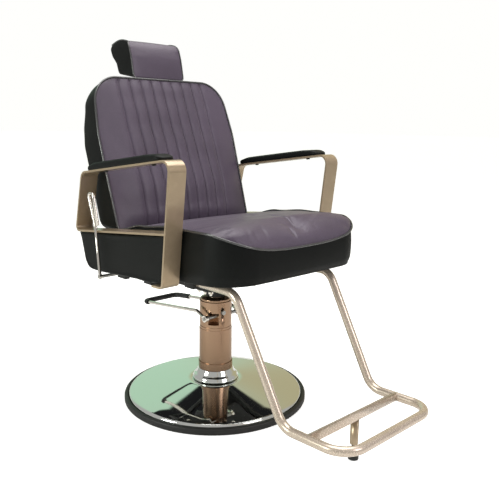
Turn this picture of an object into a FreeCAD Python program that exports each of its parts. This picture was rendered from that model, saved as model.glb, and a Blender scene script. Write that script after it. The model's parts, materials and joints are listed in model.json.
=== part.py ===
"""A hydraulic barber chair as a parametric document, in millimetres.

The origin is the centre of the base on the floor, +Z is up and the chair faces -Y, so the sitter's
right hand is on the -X side. The chair stands at its lowest height with its back upright.
"""
import FreeCAD, Part
import math
import os
import re
import Sketcher

DOC = FreeCAD.newDocument("BarberChair")
SHEET = DOC.addObject("Spreadsheet::Sheet", "Sizes")
V = FreeCAD.Vector
AXIS_X = V(1, 0, 0)
AXIS_Y = V(0, 1, 0)
AXIS_Z = V(0, 0, 1)
UPRIGHT = FreeCAD.Rotation()
ALONG_X = FreeCAD.Rotation(AXIS_Y, 90)
SIDES = {"right": -1, "left": 1}

SIZES = {
    # round base
    "base_radius": 305.0,
    "ring_width": 14.0,
    "ring_height": 21.0,
    "dome_edge_height": 28.0,
    "dome_crown_height": 64.0,
    "sheet_steel": 4.0,
    "collar_radius": 77.0,
    "collar_top": 100.0,
    # hydraulic column
    "column_radius": 54.5,
    "column_wall": 3.0,
    "column_foot": 75.0,
    "foot_ring_height": 23.5,
    "head_foot": 239.0,
    "head_radius": 53.3,
    "head_height": 94.0,
    "cap_height": 13.0,
    "cylinder_bore": 30.0,
    "cylinder_wall": 4.0,
    "ram_radius": 22.0,
    "running_fit": 0.06,
    # foot pedal
    "pedal_shaft_y": -32.0,
    "pedal_shaft_z": 287.0,
    "pedal_shaft_radius": 6.0,
    "pedal_half_span": 71.0,
    "pedal_rod_radius": 5.5,
    "pedal_reach": 312.0,
    "pedal_bar_z": 272.0,
    "grip_radius": 9.0,
    # seat, frame and arms
    "frame_half_width": 345.0,
    "strip_width": 57.0,
    "strip_thickness": 6.0,
    "seat_half_width": 285.0,
    "seat_front": 392.0,
    "seat_rear": 130.0,
    "seat_corner": 105.0,
    "seat_bow": 10.0,
    "board_thickness": 14.0,
    "skirt_thickness": 53.0,
    "arm_pad_width": 60.0,
    "arm_pad_thickness": 21.0,
    "arm_pad_length": 385.0,
    "arm_knob_radius": 6.0,
    "arm_knob_height": 4.0,
    "plate_half_gap": 107.0,
    "plate_thickness": 6.0,
    "plate_front": -100.0,
    "plate_rear": 150.0,
    "cross_bar_foot": 450.2,
    # reclining back and headrest
    "hinge_y": 215.0,
    "hinge_z": 535.0,
    "hinge_pin_radius": 8.0,
    "back_foot_y": 140.8,
    "back_foot_z": 563.0,
    "back_lean": 17.5,
    "back_depth": 126.0,
    "back_length": 511.0,
    "back_board": 10.0,
    "headrest_width": 210.0,
    "post_width": 38.0,
    "post_depth": 8.0,
    # gas spring behind the seat
    "spring_foot_y": 225.0,
    "spring_foot_z": 437.0,
    "spring_head_y": 330.0,
    "spring_head_z": 620.0,
    "spring_radius": 11.0,
    "spring_rod_radius": 5.0,
    "spring_pin_radius": 4.0,
    # recline lever
    "lever_y": 132.0,
    "lever_z": 441.0,
    "lever_x": 352.0,
    "lever_rod_radius": 4.8,
    "lever_shaft_radius": 5.0,
    "lever_boss_radius": 7.0,
    # footrest
    "tube_radius": 12.7,
    "footrest_top_x": 201.6,
    "footrest_low_x": 194.8,
    "footrest_top_z": 453.5,
    "footrest_low_z": 126.6,
    "strut_y": -584.5,
    "strut_radius": 11.5,
    "glide_radius": 6.0,
    "glide_foot_radius": 15.0,
}


def fill_sheet():
    """Write each driving dimension as plain text and name its cell."""
    for row, (alias, value) in enumerate(SIZES.items(), start=1):
        SHEET.set(f"A{row}", alias)
        SHEET.set(f"B{row}", str(value))
        SHEET.setAlias(f"B{row}", alias)
    DOC.recompute()


fill_sheet()
NODES = []


def size(alias):
    """Read one driving dimension from the sheet."""
    return float(SHEET.get(alias))


def bind(thing, **formulas):
    """Tie properties to formulas over the sheet's names; a double underscore stands for a dot."""
    for name, formula in formulas.items():
        text = re.sub(r"[a-z]+(?:_[a-z]+)+", lambda word: "Sizes." + word.group(0), str(formula))
        thing.setExpression(name.replace("__", "."), text)


def place(thing, x="0", y="0", z="0", rotation=UPRIGHT):
    """Turn a thing, then tie its place to the sheet."""
    thing.Placement = FreeCAD.Placement(V(0, 0, 0), rotation)
    bind(thing, Placement__Base__x=x, Placement__Base__y=y, Placement__Base__z=z)
    return thing


def keep(thing, label):
    """Name a finished sub-part and add it to the list that is written out."""
    thing.Label = label
    NODES.append(thing)
    return thing


def cylinder(label, radius, height, x="0", y="0", z="0", rotation=UPRIGHT):
    """A round bar from its low end along its own axis."""
    bar = DOC.addObject("Part::Cylinder", label)
    bind(bar, Radius=radius, Height=height)
    return place(bar, x, y, z, rotation)


def block(label, length, width, height, x="0", y="0", z="0", rotation=UPRIGHT):
    """A box from its low corner."""
    box = DOC.addObject("Part::Box", label)
    bind(box, Length=length, Width=width, Height=height)
    return place(box, x, y, z, rotation)


def cut(label, base, *tools):
    """Take one or more tools away from a base."""
    solid = base
    for number, tool in enumerate(tools):
        step = DOC.addObject("Part::Cut", f"{label}_cut{number}")
        step.Base = solid
        step.Tool = tool
        solid = step
    return solid


def fuse(label, *pieces):
    """Join pieces into one solid."""
    joined = DOC.addObject("Part::MultiFuse", label + "_joined")
    joined.Shapes = list(pieces)
    joined.Refine = True
    return joined


def common(label, first, second):
    """The space that two solids share."""
    shared = DOC.addObject("Part::Common", label + "_shared")
    shared.Base = first
    shared.Tool = second
    return shared


def gathered(label, pieces):
    """Several separate solids held as one sub-part."""
    gang = DOC.addObject("Part::Compound", label + "_set")
    gang.Links = pieces
    return gang


def pipe_piece(label, outer, bore, height, z, x="0", y="0", rotation=UPRIGHT):
    """A plain tube: one cylinder taken out of another."""
    shell = cylinder(label + "_outer", outer, height, x, y, z, rotation)
    hole = cylinder(label + "_bore", bore, height, x, y, z, rotation)
    return cut(label, shell, hole)


def as_shape(label, shape):
    """Hold a shape made with Part's own functions."""
    DOC.recompute()
    holder = DOC.addObject("Part::Feature", label + "_shape")
    holder.Shape = shape
    return holder


def rounded_outline(corners):
    """Closed outline of lines and arcs through (a, b, radius) corners."""
    count = len(corners)
    points = [V(corner[0], corner[1], 0) for corner in corners]
    starts = []
    ends = []
    middles = []
    for index, corner in enumerate(corners):
        radius = corner[2] if len(corner) > 2 else 0
        here = points[index]
        back = (points[index - 1] - here).normalize()
        ahead = (points[(index + 1) % count] - here).normalize()
        half = back.getAngle(ahead) / 2
        if radius and math.pi / 2 - half > 1e-3:
            run = radius / math.tan(half)
            middle = (back + ahead).normalize()
            starts.append(here + back * run)
            ends.append(here + ahead * run)
            middles.append(here + middle * (radius / math.sin(half) - radius))
        else:
            starts.append(here)
            ends.append(here)
            middles.append(None)
    pieces = []
    for index in range(count):
        if middles[index] is not None:
            pieces.append(Part.Arc(starts[index], middles[index], ends[index]))
        following = (index + 1) % count
        if (starts[following] - ends[index]).Length > 1e-6:
            pieces.append(Part.LineSegment(ends[index], starts[following]))
    return pieces


def sketch_on(body, role, outlines):
    """A sketch of closed outlines on one of the body's own origin planes."""
    sketch = body.newObject("Sketcher::SketchObject", body.Name + "_outline")
    plane = next(item for item in body.Origin.OriginFeatures if item.Role == role)
    sketch.AttachmentSupport = (plane, [""])
    sketch.MapMode = "FlatFace"
    for outline in outlines:
        first = sketch.GeometryCount
        pieces = rounded_outline(outline) if isinstance(outline[0], tuple) else outline
        sketch.addGeometry(pieces, False)
        for index in range(first, sketch.GeometryCount - 1):
            if sketch.Geometry[index].TypeId == sketch.Geometry[index + 1].TypeId == "Part::GeomLineSegment":
                sketch.addConstraint(Sketcher.Constraint("Coincident", index, 2, index + 1, 1))
    return sketch


def turned(label, outline):
    """A solid of revolution about +Z from an outline of (radius, height) corners."""
    body = DOC.addObject("PartDesign::Body", label + "_body")
    sketch = sketch_on(body, "XZ_Plane", [outline])
    turn = body.newObject("PartDesign::Revolution", label + "_turn")
    turn.Profile = sketch
    turn.ReferenceAxis = (sketch, ["V_Axis"])
    turn.Angle = 360
    return body


def padded(label, role, outlines, length, x="0", y="0", z="0", rotation=UPRIGHT):
    """A plate or block: outlines on an origin plane, padded by a length along the plane's normal."""
    body = DOC.addObject("PartDesign::Body", label + "_body")
    sketch = sketch_on(body, role, outlines)
    pad = body.newObject("PartDesign::Pad", label + "_pad")
    pad.Profile = sketch
    bind(pad, Length=length)
    return place(body, x, y, z, rotation)


def bent_path(points, radii):
    """A wire of straight runs joined by arcs that touch both runs."""
    edges = []
    last = points[0]
    for before, corner, after, radius in zip(points, points[1:], points[2:], radii):
        back = (before - corner).normalize()
        ahead = (after - corner).normalize()
        half = back.getAngle(ahead) / 2
        run = radius / math.tan(half)
        middle = corner + (back + ahead).normalize() * (radius / math.sin(half) - radius)
        start = corner + back * run
        end = corner + ahead * run
        if (start - last).Length > 1e-6:
            edges.append(Part.LineSegment(last, start).toShape())
        edges.append(Part.Arc(start, middle, end).toShape())
        last = end
    if (points[-1] - last).Length > 1e-6:
        edges.append(Part.LineSegment(last, points[-1]).toShape())
    return Part.Wire(edges)


def bent_rod(points, radii, radius):
    """A round rod along a bent path."""
    path = bent_path(points, radii)
    heading = (points[1] - points[0]).normalize()
    ring = Part.Wire(Part.Edge(Part.Circle(points[0], heading, radius)))
    return path.makePipeShell([ring], True, False)


# ---------------------------------------------------------------- round base

def make_base():
    """Rubber edge ring, chromed dome, bottom plate, cast weight and the stepped collar round the column."""
    edge = size("base_radius") - size("ring_width")
    height = size("ring_height")
    ring = turned("base_rubber_ring", [
        (edge, 0), (size("base_radius"), 0, 4), (size("base_radius"), height, 6),
        (edge + 4, height, 2), (edge, height - 4)])
    keep(ring, "base_rubber_ring")

    lip = size("dome_edge_height")
    crown = size("dome_crown_height")
    sheet = size("sheet_steel")
    reach = size("collar_radius")
    eye = size("column_radius") + 4
    slope = (crown - lip) / (edge - reach)
    eye_height = crown + slope * (reach - eye)
    dome = turned("base_dome", [
        (edge, sheet + 1), (edge, lip, 12), (eye, eye_height), (eye, eye_height - sheet),
        (edge - sheet, lip - sheet + slope * sheet, 8), (edge - sheet, sheet + 1)])
    keep(dome, "base_dome")

    keep(cylinder("base_bottom_plate", "base_radius - ring_width - 0.2", "sheet_steel"), "base_bottom_plate")
    weight = pipe_piece("base_weight", "base_radius - 50", "column_radius + 1", "12", "sheet_steel")
    keep(weight, "base_weight")

    collar_bore = size("column_radius") + 0.2
    top = size("collar_top")
    lift = 0.3
    flange = turned("column_flange", [
        (collar_bore, eye_height + slope * (eye - collar_bore) + lift), (reach, crown + lift),
        (reach, top - 30, 2.5), (reach - 3.5, top - 25), (reach - 5, top - 21.5), (reach - 10.5, top - 17),
        (size("column_radius") + 3, top, 1.5), (collar_bore, top)])
    keep(flange, "column_flange")

    bolts = []
    for number in range(4):
        angle = math.radians(45 + 90 * number)
        bolts.append(cylinder(f"pump_bolt_{number}", "6", "9", str(76 * math.cos(angle)),
                              str(76 * math.sin(angle)), "sheet_steel + 12"))
    keep(gathered("pump_bolts", bolts), "pump_bolts")


# ---------------------------------------------------------------- hydraulic column

def make_column():
    """Pump casing, its head and cap, the working cylinder, and the ram that lifts the seat."""
    pump_block = cylinder("pump_block", "column_radius - 0.5", "column_foot - sheet_steel - 9",
                          z="sheet_steel")
    keep(pump_block, "pump_block")
    keep(pipe_piece("column_sleeve", "column_radius", "column_radius - column_wall",
                    "head_foot - column_foot + 8", "column_foot - 8"), "column_sleeve")
    keep(pipe_piece("column_foot_ring", "column_radius + 2.5", "column_radius", "foot_ring_height",
                    "collar_top + 0.2"), "column_foot_ring")
    keep(pipe_piece("pump_cylinder", "cylinder_bore + cylinder_wall", "cylinder_bore",
                    "head_foot - column_foot + 8", "column_foot - 8"), "pump_cylinder")

    head = cylinder("pump_head_solid", "head_radius", "head_height", z="head_foot")
    ram_hole = cylinder("pump_head_ram_hole", "ram_radius + running_fit", "head_height", z="head_foot")
    shaft_hole = cylinder("pump_head_shaft_hole", "pedal_shaft_radius + running_fit", "2 * head_radius",
                          "-head_radius", "pedal_shaft_y", "pedal_shaft_z", ALONG_X)
    window = block("pump_head_window", "34", "34", "40", "-60", "-54", "pedal_shaft_z - 29")
    cam_pocket = block("pump_head_cam_pocket", "16", "20.5", "25", "-8", "pedal_shaft_y - 12",
                       "pedal_shaft_z - 12")
    plunger_hole = cylinder("pump_head_plunger_hole", "5 + running_fit", "38", "0", "pedal_shaft_y - 5",
                            "pedal_shaft_z - 47")
    groove = pipe_piece("pump_head_groove", "head_radius + 1", "head_radius - 1.5", "3", "head_foot + 8")
    plug_hole = cylinder("pump_head_plug_hole", "5", "14", "-14", "-56", "pedal_shaft_z + 14",
                         FreeCAD.Rotation(AXIS_X, -90))
    keep(cut("pump_head", head, ram_hole, shaft_hole, window, cam_pocket, plunger_hole, groove, plug_hole),
         "pump_head")
    plug_stem = cylinder("oil_plug_stem", "4.9", "10", "-14", "-53", "pedal_shaft_z + 14",
                         FreeCAD.Rotation(AXIS_X, -90))
    plug_top = cylinder("oil_plug_top", "7.5", "5", "-14", "-58", "pedal_shaft_z + 14",
                        FreeCAD.Rotation(AXIS_X, -90))
    keep(fuse("oil_plug", plug_stem, plug_top), "oil_plug")

    top = size("head_foot") + size("head_height")
    cap_bore = size("ram_radius") + 0.08
    cap = turned("ram_seal_cap", [
        (cap_bore, top), (size("head_radius") - 3, top, 2), (size("head_radius") - 3, top + 9, 4),
        (34, top + size("cap_height"), 2), (cap_bore, top + size("cap_height"))])
    keep(cap, "ram_seal_cap")

    keep(cylinder("ram", "ram_radius", "302", z="column_foot + 9"), "ram")
    keep(cylinder("ram_piston", "cylinder_bore - running_fit", "14", z="column_foot - 5"), "ram_piston")


def make_pedal():
    """The pedal loop, its shaft and rubber grip, and the cam and plunger that it works."""
    shaft_y = size("pedal_shaft_y")
    shaft_z = size("pedal_shaft_z")
    span = size("pedal_half_span")
    reach = size("pedal_reach")
    bar_z = size("pedal_bar_z")
    rod = size("pedal_rod_radius")
    knee = (12.0, 305.0)
    keep(cylinder("pedal_shaft", "pedal_shaft_radius", "2 * pedal_half_span + 16", "-pedal_half_span - 8",
                  "pedal_shaft_y", "pedal_shaft_z", ALONG_X), "pedal_shaft")
    route = [V(-span, shaft_y, shaft_z), V(-span, knee[0], knee[1]), V(-span, reach, bar_z),
             V(span, reach, bar_z), V(span, knee[0], knee[1]), V(span, shaft_y, shaft_z)]
    loop = bent_rod(route, [18, 22, 22, 18], rod)
    bosses = []
    for side in (-1, 1):
        low = side * span - 6
        bosses.append(Part.makeCylinder(11, 12, V(low, shaft_y, shaft_z), AXIS_X))
    shaft = Part.makeCylinder(size("pedal_shaft_radius"), 4 * span, V(-2 * span, shaft_y, shaft_z), AXIS_X)
    keep(as_shape("pedal_loop", loop.fuse(bosses).cut(shaft).removeSplitter()), "pedal_loop")

    def along_arm(y):
        share = (y - knee[0]) / (reach - knee[0])
        return knee[1] + share * (bar_z - knee[1])

    sleeve = [V(-span, 284, along_arm(284)), V(-span, reach, bar_z), V(span, reach, bar_z),
              V(span, 232, along_arm(232))]
    grip = bent_rod(sleeve, [22, 22], size("grip_radius"))
    keep(as_shape("pedal_grip", grip.cut(loop)), "pedal_grip")

    cam = pipe_piece("pump_cam", "8", "pedal_shaft_radius", "14", "pedal_shaft_z", "-7", "pedal_shaft_y",
                     ALONG_X)
    keep(cam, "pump_cam")
    plunger = cylinder("pump_plunger", "5", "30", "0", "pedal_shaft_y - 5", "pedal_shaft_z - 38.4")
    keep(plunger, "pump_plunger")


# ---------------------------------------------------------------- seat

BOARD_SLOPE = -0.0766
BOARD_REFERENCE = (-175.0, 472.0)


def board_under(y):
    """Height of the seat board's underside at a place from front to back."""
    return BOARD_REFERENCE[1] + BOARD_SLOPE * (y - BOARD_REFERENCE[0])


def make_seat_hub():
    """Swivel hub, seat plate with its bolts, and the two steel plates that carry seat and back."""
    foot = size("head_foot") + size("head_height") + size("cap_height") + 3
    bore = size("ram_radius") + size("running_fit")
    ram_top = size("column_foot") + 9 + 302
    plate_foot = 394.0
    hub = turned("swivel_hub", [
        (bore, foot), (34, foot, 2), (34, foot + 22, 4), (52, plate_foot, 3), (0, plate_foot),
        (0, ram_top + 2), (bore, ram_top + 2)])
    keep(hub, "swivel_hub")
    plate = size("plate_half_gap")
    front = size("plate_front")
    rear = size("plate_rear")
    deck = [(-plate, front, 10), (plate, front, 10), (plate, rear, 10), (-plate, rear, 10)]
    mount_plate = padded("seat_mount_plate", "XY_Plane", [deck], "plate_thickness", z=str(plate_foot))
    keep(mount_plate, "seat_mount_plate")
    deck_top = plate_foot + size("plate_thickness")
    bolts = []
    for number, (x, y) in enumerate([(-80, -70), (80, -70), (80, 110), (-80, 110)]):
        bolts.append(cylinder(f"plate_bolt_{number}", "8", "8", str(x), str(y), str(deck_top)))
    keep(gathered("plate_bolts", bolts), "plate_bolts")

    hinge_y = size("hinge_y")
    hinge_z = size("hinge_z")
    tiny = 0.4
    bar_foot = size("cross_bar_foot")
    side_outline = [
        (front, plate_foot, 12), (front, board_under(front) - tiny), (-88, board_under(-88) - tiny),
        (-88, bar_foot - tiny), (-47, bar_foot - tiny), (-47, board_under(-47) - tiny),
        (122, board_under(122) - tiny), (150, 448, 20),
        (hinge_y - 22, hinge_z - 6, 20), (hinge_y - 20, hinge_z + 20, 19), (hinge_y + 20, hinge_z + 20, 19),
        (hinge_y + 23, hinge_z - 30, 30), (245, 430, 20), (245, plate_foot, 12)]
    pins = []
    for side, sign in SIDES.items():
        low = "plate_half_gap" if sign > 0 else "-plate_half_gap - plate_thickness"
        plate_body = padded(f"mechanism_plate_{side}", "YZ_Plane", [side_outline], "plate_thickness", x=low)
        pin_hole = cylinder(f"plate_pin_hole_{side}", "hinge_pin_radius", "plate_thickness", low, "hinge_y",
                            "hinge_z", ALONG_X)
        shaft_hole = cylinder(f"plate_shaft_hole_{side}", "lever_shaft_radius + running_fit",
                              "plate_thickness", low, "lever_y", "lever_z", ALONG_X)
        keep(cut(f"mechanism_plate_{side}", plate_body, pin_hole, shaft_hole), f"mechanism_plate_{side}")
        pin_low = "plate_half_gap - 4" if sign > 0 else "-plate_half_gap - 20"
        pin = cylinder(f"back_hinge_pin_{side}_bar", "hinge_pin_radius", "24", pin_low, "hinge_y",
                       "hinge_z", ALONG_X)
        head_low = "plate_half_gap + 16.5" if sign > 0 else "-plate_half_gap - 20.5"
        head = cylinder(f"back_hinge_pin_{side}_head", "hinge_pin_radius + 4", "4", head_low, "hinge_y",
                        "hinge_z", ALONG_X)
        pins.append(fuse(f"back_hinge_pin_{side}", pin, head))
    keep(gathered("back_hinge_pins", pins), "back_hinge_pins")

    keep(block("seat_cross_bar", "2 * frame_half_width - strip_width", "35", "8",
               "-frame_half_width + strip_width / 2", "-85", "cross_bar_foot"), "seat_cross_bar")
    keep(cylinder("rear_cross_tube", "12", "2 * plate_half_gap", "-plate_half_gap", "spring_foot_y",
                  "spring_foot_z - 25", ALONG_X), "rear_cross_tube")


def make_seat():
    """Deep box cushion on a plywood board."""
    half = size("seat_half_width")
    front = -size("seat_front")
    bow = size("seat_bow")
    corner = size("seat_corner")
    rear = size("seat_rear")
    knuckle = front + bow + corner
    flat = half - corner
    lean = corner * math.sqrt(0.5)
    plan = [
        Part.LineSegment(V(-half, rear, 0), V(-half, knuckle, 0)),
        Part.Arc(V(-half, knuckle, 0), V(-flat - lean, knuckle - lean, 0), V(-flat, front + bow, 0)),
        Part.Arc(V(-flat, front + bow, 0), V(0, front, 0), V(flat, front + bow, 0)),
        Part.Arc(V(flat, front + bow, 0), V(flat + lean, knuckle - lean, 0), V(half, knuckle, 0)),
        Part.LineSegment(V(half, knuckle, 0), V(half, rear, 0)),
        Part.LineSegment(V(half, rear, 0), V(-half, rear, 0))]
    plan_block = padded("seat_plan", "XY_Plane", [plan], "300", z="400")
    profile = [
        (rear, board_under(rear)), (front + 34, board_under(front + 34), 8), (front + 6, 502, 24),
        (front, 580, 40), (front + 34, 622, 50), (-280, 634, 200), (-150, 622, 300), (rear, 588, 16)]
    profile_block = padded("seat_profile", "YZ_Plane", [profile], "2 * seat_half_width + 10",
                           x="-seat_half_width - 5")
    board_front = front + 56
    board_rear = rear - 6
    thick = size("board_thickness")
    board_outline = [(board_front, board_under(board_front)), (board_front, board_under(board_front) + thick),
                     (board_rear, board_under(board_rear) + thick), (board_rear, board_under(board_rear))]
    board = padded("seat_board", "YZ_Plane", [board_outline], "2 * seat_half_width - 120",
                   x="-seat_half_width + 60")
    keep(cut("seat_cushion", common("seat_cushion", plan_block, profile_block), board), "seat_cushion")
    keep(board, "seat_board")


def offset_line(start, end, distance):
    """A line moved to its left by a distance, as a point and a direction."""
    heading = (V(*end, 0) - V(*start, 0)).normalize()
    left = V(-heading.y, heading.x, 0)
    return V(*start, 0) + left * distance, heading


def meet(first, second):
    """Where two such lines cross, as a plain pair."""
    (p, d), (q, e) = first, second
    along = ((q - p).cross(e)).z / (d.cross(e)).z
    spot = p + d * along
    return spot.x, spot.y


ARM_FRONT = (-219.5, 814.5)
ARM_REAR = (239.0, 754.0)
STRIP_REAR = (286.6, 567.0)
STRIP_FRONT = (-196.4, 616.7)
LEG_FOOT = (-178.0, 460.0)
FLANGE_END = (-128.0, 457.9)


def side_frame_outline():
    """Outer outline and arm opening of the bent strip, seen from the side."""
    strip = size("strip_thickness")
    leg_in = offset_line(LEG_FOOT, ARM_FRONT, -strip)
    arm_in = offset_line(ARM_FRONT, ARM_REAR, -strip)
    rear_in = offset_line(ARM_REAR, STRIP_REAR, -strip)
    seat_top = offset_line(STRIP_REAR, STRIP_FRONT, 0)
    seat_low = offset_line(STRIP_REAR, STRIP_FRONT, strip)
    rear_out = offset_line(ARM_REAR, STRIP_REAR, 0)
    flange_top = offset_line(FLANGE_END, LEG_FOOT, -strip)
    end = offset_line(FLANGE_END, (FLANGE_END[0], FLANGE_END[1] + 10), 0)
    outer = [
        (*FLANGE_END, 1), (*LEG_FOOT, 14), (*ARM_FRONT, 30), (*ARM_REAR, 30), (*meet(rear_out, seat_low), 16),
        (*meet(seat_low, leg_in), 2), (*meet(leg_in, flange_top), 8), (*meet(flange_top, end), 1)]
    opening = [
        (*meet(leg_in, arm_in), 24), (*meet(arm_in, rear_in), 24), (*meet(rear_in, seat_top), 10),
        (*meet(seat_top, leg_in), 2)]
    return [outer, opening]


def make_sides():
    """Bent strip frames, skirt panels, arm pads and the knobs that hold them."""
    outlines = side_frame_outline()
    strip = size("strip_thickness")
    gap = 0.5
    clear = strip + gap
    skirt = [
        (LEG_FOOT[0] + 8.2, 467.5, 6), (-121, 463.5, 1), (-115, 459.3, 3), (-92, 458.4), (-46, 458.4, 60),
        (20, 453.6, 60), (92, 449, 100), (150, 446.8, 60), (212, 446.8, 16), (231, 456, 14), (249, 472, 40),
        (259.4, 503, 60), (270, 540, 60), (281, 567.5 - clear, 4), (-188.5, 615.9 - clear, 4)]
    pad_tilt = math.degrees(math.atan2(ARM_FRONT[1] - ARM_REAR[1], ARM_REAR[0] - ARM_FRONT[0]))
    knobs = []
    for side, sign in SIDES.items():
        low = "frame_half_width - strip_width" if sign > 0 else "-frame_half_width"
        keep(padded(f"side_frame_{side}", "YZ_Plane", outlines, "strip_width", x=low), f"side_frame_{side}")
        low = "frame_half_width - 3 - skirt_thickness" if sign > 0 else "-frame_half_width + 3"
        panel = padded(f"skirt_panel_{side}", "YZ_Plane", [skirt], "skirt_thickness", x=low)
        keep(panel, f"skirt_panel_{side}")

        centre = "frame_half_width - strip_width / 2" if sign > 0 else "-frame_half_width + strip_width / 2"
        half = size("arm_pad_width") / 2
        thick = size("arm_pad_thickness")
        length = size("arm_pad_length")
        pad_side = [(0, 0), (0, thick - 12, 7), (16, thick - 3, 20), (60, thick, 100),
                    (length - 62, thick, 100), (length, thick - 9, 9), (length, 0)]
        pad_plan = [(-half, 0, 20), (half, 0, 20), (half, length, 18), (-half, length, 18)]
        lean = FreeCAD.Rotation(AXIS_X, -pad_tilt)
        start_y = -172.0
        start_z = ARM_FRONT[1] - (start_y - ARM_FRONT[0]) * math.tan(math.radians(pad_tilt)) + 0.05
        tall = padded(f"arm_pad_plan_{side}", "XY_Plane", [pad_plan], "60", centre, str(start_y),
                      str(start_z), lean)
        wide = padded(f"arm_pad_side_{side}", "YZ_Plane", [pad_side], "arm_pad_width + 4",
                      f"{centre} - arm_pad_width / 2 - 2", str(start_y), str(start_z), lean)
        keep(common(f"arm_pad_{side}", tall, wide), f"arm_pad_{side}")

        for name, knob_y in (("rear", 137.0), ("front", -110.0)):
            under = ARM_FRONT[1] - (knob_y - ARM_FRONT[0]) * math.tan(math.radians(pad_tilt))
            under -= strip / math.cos(math.radians(pad_tilt)) + 0.05
            down = FreeCAD.Rotation(AXIS_X, 180 - pad_tilt)
            knobs.append(cylinder(f"arm_knob_{side}_{name}", "arm_knob_radius", "arm_knob_height", centre,
                                  str(knob_y), str(under), down))
    keep(gathered("arm_pad_knobs", knobs), "arm_pad_knobs")


# ---------------------------------------------------------------- footrest

def make_footrest():
    """One bent tube, its cross tube, the centre strut with its screw foot, and two saddles."""
    radius = size("tube_radius")
    top_x = size("footrest_top_x")
    low_x = size("footrest_low_x")
    top_z = size("footrest_top_z")
    low_z = size("footrest_low_z")
    toe_z = low_z + 2.7
    toe_y = -706.5
    heel = (-498.0, low_z - 2.6)
    knee = (-313.0, top_z)
    start_y = -100.0
    right = [V(-top_x, start_y, top_z), V(-top_x, *knee), V(-low_x, *heel), V(-low_x, toe_y, toe_z)]
    left = [V(-point.x, point.y, point.z) for point in reversed(right)]
    loop = bent_rod(right + left, [55, 60, 65, 65, 60, 55], radius)
    keep(as_shape("footrest_tube", loop), "footrest_tube")
    bar = Part.makeCylinder(radius, 2 * low_x, V(-low_x, size("strut_y"), low_z - 0.3), AXIS_X)
    keep(as_shape("footrest_cross_tube", bar.cut(loop).Solids[0]), "footrest_cross_tube")

    strut_foot = V(0, size("strut_y"), 47)
    strut = Part.makeCylinder(size("strut_radius"), low_z - strut_foot.z, strut_foot, AXIS_Z)
    bore = Part.makeCylinder(size("glide_radius") + size("running_fit"), 62, strut_foot - AXIS_Z, AXIS_Z)
    lower = strut.cut(bar).cut(bore).Solids
    keep(as_shape("footrest_strut", min(lower, key=lambda solid: solid.CenterOfMass.z)), "footrest_strut")
    stem = cylinder("foot_glide_stem", "glide_radius", "60", "0", "strut_y", "8")
    foot = cylinder("foot_glide_foot", "glide_foot_radius", "8", "0", "strut_y", "2")
    keep(fuse("foot_glide", stem, foot), "foot_glide")

    saddles = []
    for side, sign in SIDES.items():
        low = f"{sign} * footrest_top_x - 21"
        saddle = block(f"footrest_saddle_{side}_block", "42", "40", "22", low, "-160", "footrest_top_z - 17")
        seat = cylinder(f"footrest_saddle_{side}_bore", "tube_radius", "60", f"{sign} * footrest_top_x",
                        "-110", "footrest_top_z", FreeCAD.Rotation(AXIS_X, 90))
        saddles.append(cut(f"footrest_saddle_{side}", saddle, seat))
    keep(gathered("footrest_saddles", saddles), "footrest_saddles")


# ---------------------------------------------------------------- back and headrest

def leaned(along, depth):
    """A point of the back, given along its front face and behind it, as (y, z)."""
    lean = math.radians(size("back_lean"))
    y = size("back_foot_y") + along * math.sin(lean) + depth * math.cos(lean)
    z = size("back_foot_z") + along * math.cos(lean) - depth * math.sin(lean)
    return y, z


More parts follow.
